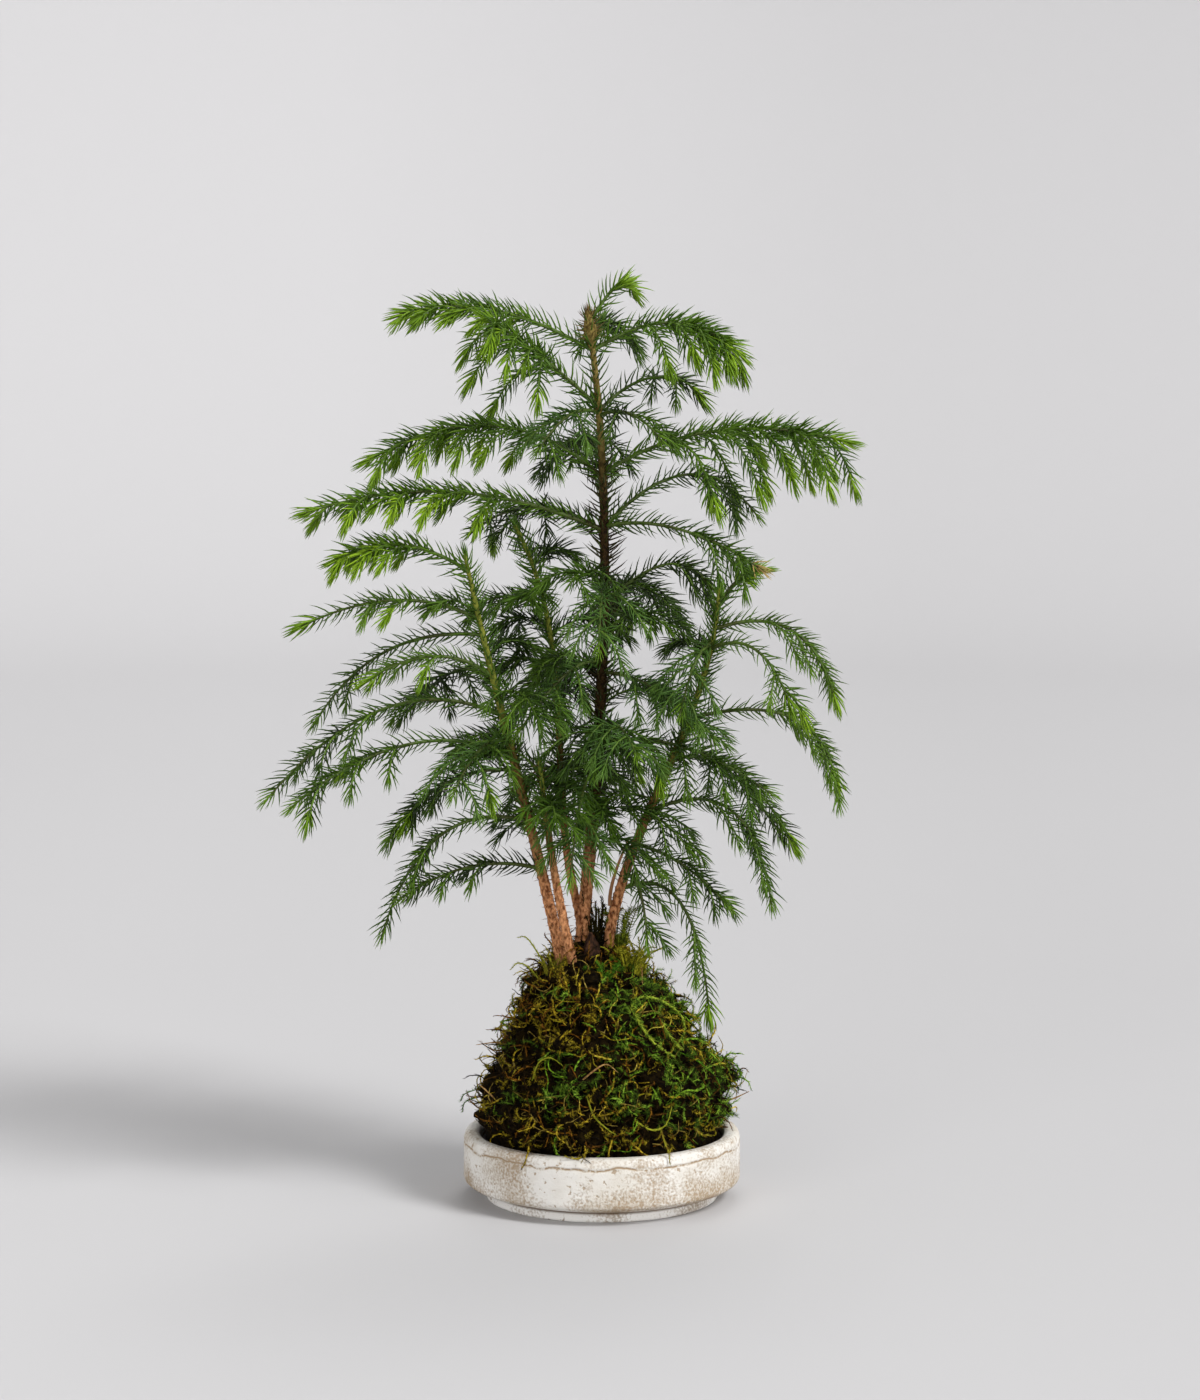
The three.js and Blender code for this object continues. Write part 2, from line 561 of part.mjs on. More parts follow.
// The top tiers are young and bright, and the boughs that come towards the viewer lower down are bluish.
function lookOf(name) {
  const fixed = { saucer: 'clay', root_ball: 'moss', old_stub: 'deadBark' };
  const bough = boughs.find(other => other.name === name);
  if (!bough) return looks[fixed[name] ?? 'bark'];
  if (bough.height > 300) return looks.youngNeedles;
  return Math.sin(bough.heading) < -0.3 ? looks.bluishNeedles : looks.needles;
}

const model = new THREE.Group();
for (const [name, solid] of Object.entries(solids)) {
  const { vertProperties, triVerts } = solid.getMesh();
  const shape = new THREE.BufferGeometry();
  shape.setAttribute('position', new THREE.BufferAttribute(new Float32Array(vertProperties), 3));
  shape.setIndex(new THREE.BufferAttribute(new Uint32Array(triVerts), 1));
  shape.computeVertexNormals();
  const node = new THREE.Mesh(shape, new THREE.MeshStandardMaterial({ ...lookOf(name), metalness: 0 }));
  node.name = name;
  model.add(node);
}

export default model;
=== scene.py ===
import json
import math

import bpy
import numpy as np
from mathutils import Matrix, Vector, noise

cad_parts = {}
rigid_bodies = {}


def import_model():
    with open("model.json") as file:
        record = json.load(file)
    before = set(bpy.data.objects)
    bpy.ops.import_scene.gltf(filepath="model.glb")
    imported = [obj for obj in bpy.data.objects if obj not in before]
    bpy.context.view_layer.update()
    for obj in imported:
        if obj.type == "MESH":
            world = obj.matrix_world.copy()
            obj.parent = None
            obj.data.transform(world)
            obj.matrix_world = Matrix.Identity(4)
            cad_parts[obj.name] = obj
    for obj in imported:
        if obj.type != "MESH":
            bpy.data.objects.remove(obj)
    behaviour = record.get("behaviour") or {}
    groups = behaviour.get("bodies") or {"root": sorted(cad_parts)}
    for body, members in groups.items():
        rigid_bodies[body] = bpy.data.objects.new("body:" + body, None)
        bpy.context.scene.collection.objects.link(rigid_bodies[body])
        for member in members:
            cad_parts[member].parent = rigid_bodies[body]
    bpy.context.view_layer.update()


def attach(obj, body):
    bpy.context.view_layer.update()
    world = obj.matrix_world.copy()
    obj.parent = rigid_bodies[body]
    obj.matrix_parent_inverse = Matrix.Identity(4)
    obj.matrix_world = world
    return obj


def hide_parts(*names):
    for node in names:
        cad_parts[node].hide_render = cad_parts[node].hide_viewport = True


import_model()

mm = 0.001
up = np.array([0.0, 0.0, 1.0])
fullTurn = 2 * math.pi
goldenTurn = math.pi * (3 - math.sqrt(5))
seeds = {"inner": 300, "fine": 6000, "choice": 8000, "stemNeedles": 200, "wisps": 500, "tufts": 600}


camera = {
    "place": (-0.0008, -1.9, 0.468),
    "pitchDegrees": 7.197,
    "lens": 109.24,
    "sensorHeight": 36,
    "farthest": 30,
}


def newObject(name, data):
    thing = bpy.data.objects.new(name, data)
    bpy.context.scene.collection.objects.link(thing)
    return thing


def makeCamera():
    data = bpy.data.cameras.new("camera")
    data.sensor_fit = "VERTICAL"
    data.sensor_height = camera["sensorHeight"]
    data.lens = camera["lens"]
    data.clip_end = camera["farthest"]
    eye = newObject("camera", data)
    eye.location = camera["place"]
    eye.rotation_euler = (math.radians(90 - camera["pitchDegrees"]), 0, 0)
    bpy.context.scene.camera = eye


studio = {
    "floorColour": "#c6c5c6",
    "wallColour": "#cfcecf",
    "paintChange": (0.6, 2.4),   # metres from the middle
    "paintedLightAndShade": (1.02, 0.92),  # painted light at the left and painted shade at the right
    "shadeReach": 0.3,
    "floorRadius": 2.05,
    "floorRings": (0.7, 0.4, 0.1),
    "bendRadius": 0.9,
    "bendSteps": 12,
    "wallTop": 1.3,
    "wallSides": 160,
    "skyStrength": 0.46,
    "lampAim": (0, 0, 0.2),
}
lamps = {
    # place, size, power
    "keyLight": ((3.9, -3.0, 5.1), 1.9, 385),
    "fillLight": ((-1.3, -2.5, 0.8), 1.6, 30),
    "sideLight": ((2.4, -1.3, 0.45), 0.8, 22),
    "backLight": ((0.4, 1.5, 2.4), 1.0, 12),
}


def areaLight(name, place, size, power):
    data = bpy.data.lights.new(name, "AREA")
    data.size = size
    data.energy = power
    lamp = newObject(name, data)
    lamp.location = place
    lamp.visible_camera = False
    lamp.rotation_euler = (Vector(studio["lampAim"]) - Vector(place)).to_track_quat("-Z", "Y").to_euler()


def makeBackdrop():
    bend, inner, steps = studio["bendRadius"], studio["floorRadius"], studio["bendSteps"]
    sweep = [(inner + bend, studio["wallTop"])]
    for i in range(steps + 1):
        turn = math.radians(90 - 90 * i / steps)
        sweep.append((inner + bend * math.sin(turn), bend - bend * math.cos(turn)))
    sweep += [(inner * share, 0) for share in studio["floorRings"]]
    sides = studio["wallSides"]
    points = [(r * math.cos(turn), r * math.sin(turn), z) for r, z in sweep for turn in turnsOf(sides)]
    faces = ringFaces(len(sweep), sides, closeEnds=False)
    faces.append(tuple(range(len(points) - sides, len(points))))
    plainObject("backdrop", points, faces, floorPaint())


def makeStudio():
    for name, (place, size, power) in lamps.items():
        areaLight(name, place, size, power)
    world = bpy.data.worlds.new("studio")
    world.use_nodes = True
    sky = world.node_tree.nodes["Background"]
    sky.inputs["Color"].default_value = (1, 1, 1, 1)
    sky.inputs["Strength"].default_value = studio["skyStrength"]
    bpy.context.scene.world = world
    bpy.context.scene.view_settings.view_transform = "Standard"
    makeBackdrop()


# the same draws on every machine
def dice(seed):
    state = (seed * 7919 + 101) % 2147483647

    def roll():
        nonlocal state
        state = state * 16807 % 2147483647
        return state / 2147483647

    return roll


def blend(a, b, t):
    return a + (b - a) * t


def eased(value, low, high):
    share = np.clip((value - low) / (high - low), 0, 1)
    return share * share * (3 - 2 * share)


# from a hex code to the linear values that a node takes
def linear(hexColour):
    parts = [int(hexColour[i:i + 2], 16) / 255 for i in (1, 3, 5)]
    return tuple(p / 12.92 if p < 0.04045 else ((p + 0.055) / 1.055) ** 2.4 for p in parts) + (1.0,)


def turnsOf(sides):
    return [k / sides * fullTurn for k in range(sides)]


def plainObject(name, points, faces, material=None, edges=()):
    mesh = bpy.data.meshes.new(name)
    mesh.from_pydata([tuple(p) for p in points], edges, [tuple(f) for f in faces])
    if material:
        mesh.materials.append(material)
    mesh.shade_smooth()
    return newObject(name, mesh)


def setField(thing, name, values, kind="FLOAT", part="value"):
    thing.data.attributes.new(name, kind, "POINT").data.foreach_set(part, np.ravel(values))


def ringFaces(rings, sides, closeEnds=True):
    faces = []
    for i in range(rings - 1):
        for k in range(sides):
            j = (k + 1) % sides
            faces.append((i * sides + k, i * sides + j, (i + 1) * sides + j, (i + 1) * sides + k))
    if closeEnds:
        faces.append(tuple(range(sides))[::-1])
        faces.append(tuple(range((rings - 1) * sides, rings * sides)))
    return faces


def addPiece(thing, nodes=()):
    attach(thing, "root")
    if nodes:
        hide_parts(*nodes)
    print("piece", thing.name, sum(len(p.vertices) - 2 for p in thing.data.polygons), "triangles")
    return thing


def remove(thing):
    data = thing.data
    bpy.data.objects.remove(thing)
    bpy.data.meshes.remove(data)


# a value, a socket, or a node that gives its first output
def plug(tree, socket, source):
    if isinstance(source, bpy.types.Node):
        source = source.outputs[0]
    if isinstance(source, bpy.types.NodeSocket):
        tree.links.new(source, socket)
    else:
        socket.default_value = source


# small letters set the node, capitals are its inputs, with _ for a space, and at holds inputs by number
def addNode(tree, kind, at=(), **given):
    node = tree.nodes.new(kind)
    for name, value in given.items():
        if name[0].islower():
            setattr(node, name, value)
    for name, source in given.items():
        if name[0].isupper():
            plug(tree, node.inputs[name.replace("_", " ")], source)
    for number, source in dict(at).items():
        plug(tree, node.inputs[number], source)
    return node


def newTree(name, kind, inputs, outputs):
    tree = bpy.data.node_groups.new(name, kind)
    for label, socketKind, value in inputs:
        socket = tree.interface.new_socket(label, in_out="INPUT", socket_type="NodeSocket" + socketKind)
        if value is not None:
            socket.default_value = value
    for label, socketKind in outputs:
        tree.interface.new_socket(label, in_out="OUTPUT", socket_type="NodeSocket" + socketKind)
    return tree, addNode(tree, "NodeGroupInput").outputs, addNode(tree, "NodeGroupOutput")


def calc(tree, operation, a, b=0.0, clamp=False):
    return addNode(tree, "ShaderNodeMath", {0: a, 1: b}, operation=operation, use_clamp=clamp).outputs[0]


def mapped(tree, value, fromLow, fromHigh, toLow, toHigh):
    node = addNode(tree, "ShaderNodeMapRange", Value=value, From_Min=fromLow, From_Max=fromHigh,
                   To_Min=toLow, To_Max=toHigh)
    return node.outputs["Result"]


def mixed(tree, share, colour, otherColour):
    at = {0: share, 6: colour, 7: otherColour}
    return addNode(tree, "ShaderNodeMix", at, data_type="RGBA").outputs[2]


def noiseOf(tree, place, scale, detail=3.0):
    return addNode(tree, "ShaderNodeTexNoise", Vector=place, Scale=scale, Detail=detail).outputs["Fac"]


# what a node tree makes of an object, as a plain object of its own
def grown(source, tree, name, values):
    modifier = source.modifiers.new("grow", "NODES")
    modifier.node_group = tree
    sockets = {item.name: item.identifier for item in tree.interface.items_tree if item.in_out == "INPUT"}
    for label, value in values.items():
        modifier[sockets[label]] = value
    shaped = source.evaluated_get(bpy.context.evaluated_depsgraph_get())
    mesh = bpy.data.meshes.new_from_object(shaped)
    mesh.name = name
    source.modifiers.remove(modifier)
    return newObject(name, mesh)


def turned(tree, rotation, axis, angle):
    spin = addNode(tree, "FunctionNodeAxisAngleToRotation", Axis=axis, Angle=angle)
    return addNode(tree, "FunctionNodeRotateRotation", rotation_space="LOCAL",
                   Rotation=rotation, Rotate_By=spin)


def randomly(tree, low, high, seed, offset):
    own = calc(tree, "ADD", seed, float(offset))
    return addNode(tree, "FunctionNodeRandomValue", {2: low, 3: high}, data_type="FLOAT", Seed=own).outputs[1]


def namedField(tree, kind, name):
    return addNode(tree, "GeometryNodeInputNamedAttribute", data_type=kind, Name=name).outputs["Attribute"]


# copies of a collection's shapes at points, made real and painted
def copiesOf(tree, points, here, shapes, count, seed, rotation, size, material):
    choice = addNode(tree, "GeometryNodeCollectionInfo", transform_space="ORIGINAL", Collection=shapes,
                     Separate_Children=True, Reset_Children=True)
    span = {4: 0, 5: calc(tree, "SUBTRACT", count, 1.0)}
    own = calc(tree, "ADD", seed, 7.0)
    pick = addNode(tree, "FunctionNodeRandomValue", span, data_type="INT", Seed=own)
    placed = addNode(tree, "GeometryNodeInstanceOnPoints", Points=points, Selection=here, Instance=choice,
                     Pick_Instance=True, Instance_Index=pick.outputs[2], Rotation=rotation, Scale=size)
    return realAndPainted(tree, placed, material)


def realAndPainted(tree, geometry, material):
    whole = addNode(tree, "GeometryNodeRealizeInstances", Geometry=geometry)
    return addNode(tree, "GeometryNodeSetMaterial", Geometry=whole, Material=material)


def shapeCollection(name, meshes):
    shapes = bpy.data.collections.new(name)
    for n, (points, faces) in enumerate(meshes):
        shape = plainObject(f"{name}{n}", points, faces)
        bpy.context.scene.collection.objects.unlink(shape)
        shapes.objects.link(shape)
    return shapes


def clearShapes(shapes):
    for shape in list(shapes.objects):
        remove(shape)
    bpy.data.collections.remove(shapes)


# a colour that wanders between two tones, and a height for bumps
def driftGroup():
    tree, given, result = newTree(
        "drift", "ShaderNodeTree",
        [("Colour", "Color", None), ("Other Colour", "Color", None), ("Scale", "Float", 40.0),
         ("Detail", "Float", 3.0), ("Low", "Float", 0.4), ("High", "Float", 0.6), ("Place", "Vector", None)],
        [("Colour", "Color"), ("Height", "Float")])
    spots = noiseOf(tree, given["Place"], given["Scale"], given["Detail"])
    share = mapped(tree, spots, given["Low"], given["High"], 0.0, 1.0)
    plug(tree, result.inputs["Height"], spots)
    plug(tree, result.inputs["Colour"], mixed(tree, share, given["Colour"], given["Other Colour"]))
    return tree


drift = driftGroup()


def newMaterial(name, roughness, specular):
    material = bpy.data.materials.new(name)
    material.use_nodes = True
    shader = material.node_tree.nodes["Principled BSDF"]
    shader.inputs["Roughness"].default_value = roughness
    shader.inputs["Specular IOR Level"].default_value = specular
    return material, material.node_tree, shader


def drifting(tree, colour, otherColour, scale, place, low=0.4, high=0.6, detail=3.0):
    node = addNode(tree, "ShaderNodeGroup", node_tree=drift, Scale=scale, Low=low, High=high, Detail=detail,
                   Place=place, Colour=linear(colour), Other_Colour=linear(otherColour))
    return node.outputs["Colour"]


def objectPlace(tree, stretch=(1, 1, 1)):
    place = addNode(tree, "ShaderNodeTexCoord").outputs["Object"]
    return addNode(tree, "ShaderNodeMapping", Vector=place, Scale=stretch)


def bumped(tree, shader, height, strength, distance):
    bump = addNode(tree, "ShaderNodeBump", Height=height, Strength=strength, Distance=distance)
    plug(tree, shader.inputs["Normal"], bump)


# a little lighter towards the wall, with painted light on the left and painted shade on the right
def floorPaint():
    material, tree, shader = newMaterial("floorPaint", 0.8, 0.1)
    place = objectPlace(tree)
    away = addNode(tree, "ShaderNodeVectorMath", operation="LENGTH", Vector=place)
    share = mapped(tree, away.outputs["Value"], *studio["paintChange"], 0.0, 1.0)
    paint = mixed(tree, share, linear(studio["floorColour"]), linear(studio["wallColour"]))
    # painted light and shade: the paint is scaled up a little on the left and down on the right
    x = addNode(tree, "ShaderNodeSeparateXYZ", Vector=place)
    shade = mapped(tree, x, -studio["shadeReach"], studio["shadeReach"], *studio["paintedLightAndShade"])
    shaded = addNode(tree, "ShaderNodeVectorMath", operation="SCALE", Vector=paint, Scale=shade)
    plug(tree, shader.inputs["Base Color"], shaded)
    return material


# wanders gently between two close tones
def twoTone(name, colour, otherColour, scale=70, roughness=0.5, specular=0.25):
    material, tree, shader = newMaterial(name, roughness, specular)
    plug(tree, shader.inputs["Base Color"], drifting(tree, colour, otherColour, scale, objectPlace(tree)))
    return material


stems = {
    "main_trunk": {
        "line": [(-10.4, 3, 104), (-1, 9, 204), (8.3, 5, 303), (-6.4, 2, 403)],
        "foot": 2.9, "tip": 1.1, "bud": 1.8, "wood": "oldWood",
    },
    "outer_stem": {
        "line": [(-17, -5, 104), (-30, -5.5, 169), (-48.7, -9.5, 233), (-61, -18, 296)],
        "foot": 2.5, "tip": 0.8, "wood": "youngWood",
    },
    "inner_stem": {
        "line": [(-11.5, -11, 104), (-20, -14, 138), (-25, -14, 172), (-28, -13, 203)],
        "foot": 2.1, "tip": 0.9, "wood": "shortWood",
    },
    "middle_stem": {
        "line": [(-12.1, 8.2, 137), (-25, 15, 190), (-11, 22, 253), (-39.5, 16, 306)],
        "foot": 1.9, "tip": 0.8, "wood": "youngWood", "root": (-8.4, 5, 116),
    },
    "right_stem": {
        "line": [(2, 3, 104), (4.6, 2.5, 167), (51, -4, 217), (52.4, -8, 280)],
        "foot": 2.3, "tip": 0.8, "wood": "youngWood",
    },
}
stemShape = {
    "taper": 1.6,
    "rootFlare": 0.6,
    "flareShare": 0.1,     # of the stem's height
    "budAt": 0.97,
    "budSpread": 0.02,
    "rooting": 10,         # how far a fork runs down into the stem that carries it
    "ringStep": 0.6,
    "sides": 30,
    "scarStep": 3.4,       # from one row of leaf scars to the next
    "scarsRound": 5,
    "scarSize": 0.3,
    "scarDepth": 0.28,
    "roughDepth": 0.4,
    "calming": 0.6,        # the relief that is gone at the tip
    "endShare": 0.4,       # of the radius, left at the last ring
}


def cubicAt(points, t):
    a, b, c, d = np.array(points, float)
    return a * (1 - t) ** 3 + 3 * b * t * (1 - t) ** 2 + 3 * c * t * t * (1 - t) + d * t ** 3


def archAt(points, t):
    a, b, c = (np.array(p, float) for p in points)
    return a * (1 - t) ** 2 + 2 * b * t * (1 - t) + c * t * t


def stemRadius(stem, t):
    bud = stem.get("bud", 0) * math.exp(-(((t - stemShape["budAt"]) / stemShape["budSpread"]) ** 2))
    flare = stemShape["rootFlare"] * max(0, 1 - t / stemShape["flareShare"]) ** 2
    return blend(stem["foot"], stem["tip"], t ** stemShape["taper"]) + flare + bud


def stemAtHeight(stem, height):
    low, high = 0.0, 1.0
    for _ in range(40):
        middle = (low + high) / 2
        if cubicAt(stem["line"], middle)[2] < height:
            low = middle
        else:
            high = middle
    return cubicAt(stem["line"], low)


def pathLength(points):
    return float(np.sum(np.linalg.norm(np.diff(points, axis=0), axis=1)))


def stemPath(stem, step):
    length = pathLength([cubicAt(stem["line"], i / 20) for i in range(21)])
    count = int(length / step)
    return np.array([cubicAt(stem["line"], i / count) for i in range(count + 1)]), length


# ahead, lift and side at each point of a path, carried along without a twist
def framesAlong(points):
    ahead = np.gradient(points, axis=0)
    ahead /= np.linalg.norm(ahead, axis=1)[:, None]
    lift = np.zeros_like(ahead)
    last = np.array([0.0, 1.0, 0.0]) if abs(ahead[0][2]) > 0.9 else up
    for i, way in enumerate(ahead):
        last = last - way * last.dot(way)
        last /= np.linalg.norm(last)
        lift[i] = last
    return ahead, lift, np.cross(lift, ahead)


def outward(lift, side, turn):
    return lift * math.sin(turn) + side * math.cos(turn)


# rows of leaf scars over a rough skin
def barkRelief(turn, height, seed, age):
    row = height / stemShape["scarStep"]
    shift = 0.5 * (math.floor(row) % 2) + 0.3 * math.sin(height * 0.05)
    across = (turn / fullTurn * stemShape["scarsRound"] + shift) % 1 - 0.5
    size = stemShape["scarSize"]
    scar = math.exp(-(across / size) ** 2) * max(0, 1 - abs(row % 1 - 0.25) / size)
    spot = Vector((3 * math.cos(turn), 3 * math.sin(turn), height * 0.55 + 40 * seed))
    rough = noise.fractal(spot * 1.1, 0.6, 2.1, 4)
    relief = stemShape["scarDepth"] * scar + stemShape["roughDepth"] * rough
    return (1 - stemShape["calming"] * age) * relief


def stemMesh(name, stem, seed, material):
    middle, length = stemPath(stem, stemShape["ringStep"])
    if "root" in stem:
        foot = middle[0]
        pull = foot - (middle[1] - foot) / np.linalg.norm(middle[1] - foot) * stemShape["rooting"]
        rooting = pathOf([stem["root"], pull, foot], stemShape["ringStep"])
        middle = np.vstack([rooting[:-1], middle])
    rings, sides = len(middle), stemShape["sides"]
    _, lift, side = framesAlong(middle)
    points, ages = [], []
    for i in range(rings):
        t = i / (rings - 1)
        plain = stemRadius(stem, t)
        for turn in turnsOf(sides):
            radius = plain + barkRelief(turn, t * length, seed, t) * min(1, plain / 2)
            if i == rings - 1:
                radius *= stemShape["endShare"]
            points.append((middle[i] + radius * outward(lift[i], side[i], turn)) * mm)
            ages.append(t)
    thing = plainObject(name, points, ringFaces(rings, sides), material)
    setField(thing, "youth", ages)
    return thing


bark = {
    "foot": ("#d29566", "#66391f"),
    "roughness": 0.8,
    "specular": 0.1,
    "stretch": (1, 1, 0.6),
    "wander": 0.04,        # of the height, where one age gives way to the next
    "grainScale": 2200.0,
    "grainStrength": 0.6,
    "grainDepth": 0.0004,
}
woods = {
    # middle tones, top tones, and the shares of the height at which each of them sets in
    "oldWood": (("#382812", "#1e1409"), ("#877640", "#5e5026"), ((0.1, 0.3), (0.7, 0.84))),
    "youngWood": (("#7d5f35", "#54401f"), ("#7c8032", "#5a6424"), ((0.2, 0.42), (0.42, 0.7))),
    "shortWood": (("#7d5f35", "#54401f"), ("#7c8032", "#5a6424"), ((0.4, 0.6), (0.6, 0.9))),
}


def barkPaint(name, middle, top, changes):
    material, tree, shader = newMaterial(name, bark["roughness"], bark["specular"])
    place = objectPlace(tree, bark["stretch"])
    youth = addNode(tree, "ShaderNodeAttribute", attribute_name="youth").outputs["Fac"]
    play = mapped(tree, noiseOf(tree, place, 60.0), 0.3, 0.7, -bark["wander"], bark["wander"])
    wander = calc(tree, "ADD", youth, play)
    colour = drifting(tree, *bark["foot"], 800, place, 0.38, 0.66)
    for tones, (start, end) in zip((middle, top), changes):
        share = mapped(tree, wander, start, end, 0.0, 1.0)
        colour = mixed(tree, share, colour, drifting(tree, *tones, 700, place, 0.44, 0.6))
    plug(tree, shader.inputs["Base Color"], colour)
    grain = noiseOf(tree, place, bark["grainScale"], 2.0)
    bumped(tree, shader, grain, bark["grainStrength"], bark["grainDepth"])
    return material


def makeStems():
    paints = {name: barkPaint(name, *wood) for name, wood in woods.items()}
    for seed, (name, stem) in enumerate(stems.items(), 1):
        addPiece(stemMesh(name + "_bark", stem, seed, paints[stem["wood"]]), [name])


deadStub = {
    # the black lump of bark between the feet of the stems
    "line": [(-4.8, -9, 103), (-4.6, -8.6, 111), (-4.6, -7.6, 117), (-5, -6.4, 123)],
    "radii": (5.0, 4.8, 3.6, 0.7),
    "sides": 40,
    "rings": 36,
    "roughDepth": 0.8,
    "tones": ("#1a0f09", "#4a3020"),
}


def makeDeadStub():
    line = np.array(deadStub["line"])
    rings, sides = deadStub["rings"], deadStub["sides"]
    points = []
    for i in range(rings):
        place = i / (rings - 1) * (len(line) - 1)
        low = min(int(place), len(line) - 2)
        middle = blend(line[low], line[low + 1], place - low)
        radius = blend(deadStub["radii"][low], deadStub["radii"][low + 1], place - low)
        for turn in turnsOf(sides):
            out = np.array([math.cos(turn), math.sin(turn), 0])
            spot = middle + out * radius
            rough = noise.fractal(Vector((spot[0], spot[1], spot[2] * 0.4)) * 0.7, 0.6, 2.2, 4)
            standing = radius + deadStub["roughDepth"] * rough * min(1, radius / 3)
            points.append((middle + out * standing) * mm)
    material, tree, shader = newMaterial("deadBark", 0.8, 0.12)
    place = objectPlace(tree, (1, 1, 0.4))
    plug(tree, shader.inputs["Base Color"], drifting(tree, *deadStub["tones"], 600, place, 0.45, 0.68))
    bumped(tree, shader, noiseOf(tree, place, 900.0), 0.6, 0.0006)
    addPiece(plainObject("deadStub", points, ringFaces(rings, sides), material), ["old_stub"])


boughs = [
    # name, stem, height, heading, shoulder (out, up), tip (out, up), shoots, reach, droop, tone
    # the deep tone on the back and low boughs is painted shade: darker needles where shade falls
    ("tier3_left", "main_trunk", 328, 183, (46, 44), (107, 7), 8, 33, 0.6, "fresh"),
    ("tier3_right", "main_trunk", 330, -3, (48, 32), (112, 14), 8, 50, 0.8, "fresh"),
    ("tier4_left", "main_trunk", 304, 191, (69, 32), (136, 10), 9, 32, 0.5, "fresh"),
    ("outer_left4", "outer_stem", 222, 187, (53, 27), (107, -37), 8, 36, 0.4, "middle"),
    ("right_t5", "right_stem", 177, -4, (47, 24), (56, -44), 7, 34, 0.5, "middle"),
    ("tier1_left", "main_trunk", 385, 170, (50, 29), (90, 15), 8, 30, 0.35, "fresh"),
    ("tier1_right", "main_trunk", 385, -8, (40, 27), (68, -3), 8, 32, 0.75, "fresh"),
    ("leader", "main_trunk", 397, 15, (15, 27), (22, 12), 2, 12, 0.2, "fresh"),
    ("tier1_back", "main_trunk", 386, 84, (36, 22), (66, 2), 7, 30, 0.6, "middle"),
    ("tier2_left", "main_trunk", 360, 205, (31, 27), (57, 42), 6, 46, 0.8, "fresh"),
    ("tier2_front", "main_trunk", 357, 236, (24, 8), (50, -16), 6, 26, 0.5, "bluish"),
    ("tier2_right", "main_trunk", 356, 312, (22, 8), (42, -10), 4, 24, 0.5, "middle"),
    ("tier2_back", "main_trunk", 358, 40, (28, 22), (54, 10), 6, 28, 0.6, "middle"),
    ("tier3_back", "main_trunk", 331, 100, (42, 26), (86, -4), 7, 34, 0.6, "deep"),
    ("tier4_right", "main_trunk", 306, 25, (46, 44), (78, 1), 7, 34, 0.7, "middle"),
    ("tier4_front", "main_trunk", 306, -25, (34, 9), (78, -17), 7, 30, 0.6, "middle"),
    ("tier4_back", "main_trunk", 303, 136, (44, 22), (88, -6), 7, 32, 0.6, "deep"),
    ("tier5_right", "main_trunk", 270, 6, (33, 34), (49, 7), 6, 28, 0.7, "deep"),
    ("tier5_front", "main_trunk", 274, 268, (40, 17), (74, -17), 6, 28, 0.6, "bluish"),
    ("tier5_back", "main_trunk", 268, 70, (40, 22), (80, -10), 7, 34, 0.6, "deep"),
    ("tier6_left", "main_trunk", 244, 222, (18, 8), (52, -29), 6, 28, 0.5, "bluish"),
    ("tier6_right", "main_trunk", 240, -34, (30, 1), (49, -23), 6, 28, 0.5, "bluish"),
    ("tier6_back", "main_trunk", 236, 112, (38, 18), (78, -22), 7, 34, 0.6, "deep"),
    ("tier7_right", "main_trunk", 207, -21, (37, 12), (84, -19), 7, 32, 0.6, "middle"),
    ("tier7_front", "main_trunk", 214, 284, (38, 14), (70, -4), 6, 26, 0.6, "bluish"),
    ("tier8_front", "main_trunk", 196, 258, (36, 4), (56, -44), 6, 26, 0.4, "bluish"),
    ("tier7_back", "main_trunk", 204, 88, (36, 16), (72, -26), 7, 32, 0.6, "deep"),
    ("outer_left1", "outer_stem", 288, 178, (31, 21), (61, 4), 6, 26, 0.5, "fresh"),
    ("outer_left2", "outer_stem", 266, 188, (36, 20), (82, -3), 7, 28, 0.4, "light"),
    ("outer_low2", "outer_stem", 259, 166, (52, 4), (80, -44), 7, 32, 0.4, "middle"),
    ("outer_left3", "outer_stem", 240, 198, (26, 21), (61, -1), 6, 28, 0.5, "light"),
    ("outer_back", "outer_stem", 236, 128, (26, 16), (58, -14), 6, 30, 0.6, "deep"),
    ("outer_left5", "outer_stem", 204, 203, (50, 24), (106, -18), 8, 34, 0.4, "middle"),
    ("outer_low5", "outer_stem", 197, 168, (34, 4), (60, -33), 6, 30, 0.4, "deep"),
    ("outer_left6", "outer_stem", 174, 184, (48, 13), (67, -53), 7, 30, 0.4, "middle"),
    ("outer_left7", "outer_stem", 152, 192, (33, 10), (65, -12), 6, 24, 0.4, "deep"),
    ("outer_front", "outer_stem", 210, 246, (30, 10), (60, -18), 6, 30, 0.5, "bluish"),
    ("middle_left", "middle_stem", 266, 172, (14, 13), (34, 2), 4, 20, 0.5, "deep"),
    ("right_t7_front", "right_stem", 146, 294, (20, 12), (27, -27), 4, 20, 0.5, "middle"),
    ("right_t1", "right_stem", 271, 10, (9, 17), (22, 16), 2, 16, 0.3, "fresh"),
    ("right_t2", "right_stem", 261, -5, (43, 16), (55, -35), 7, 28, 0.5, "light"),
    ("right_t2_front", "right_stem", 252, -36, (29, 14), (44, -26), 6, 26, 0.5, "light"),
    ("right_t3", "right_stem", 220, -2, (61, 17), (67, -33), 7, 28, 0.5, "light"),
    ("right_t2_left", "right_stem", 254, 244, (18, 2), (34, -29), 6, 24, 0.5, "bluish"),
    ("right_t4", "right_stem", 200, 42, (32, 10), (72, -44), 7, 30, 0.5, "deep"),
    ("right_t6", "right_stem", 162, -22, (24, -3), (46, -27), 6, 24, 0.4, "middle"),
    ("right_t7", "right_stem", 141, -14, (36, 19), (42, -59), 7, 28, 0.4, "light"),
]
limbed = ("tier3_left", "tier3_right", "tier4_left", "outer_left4", "right_t5")
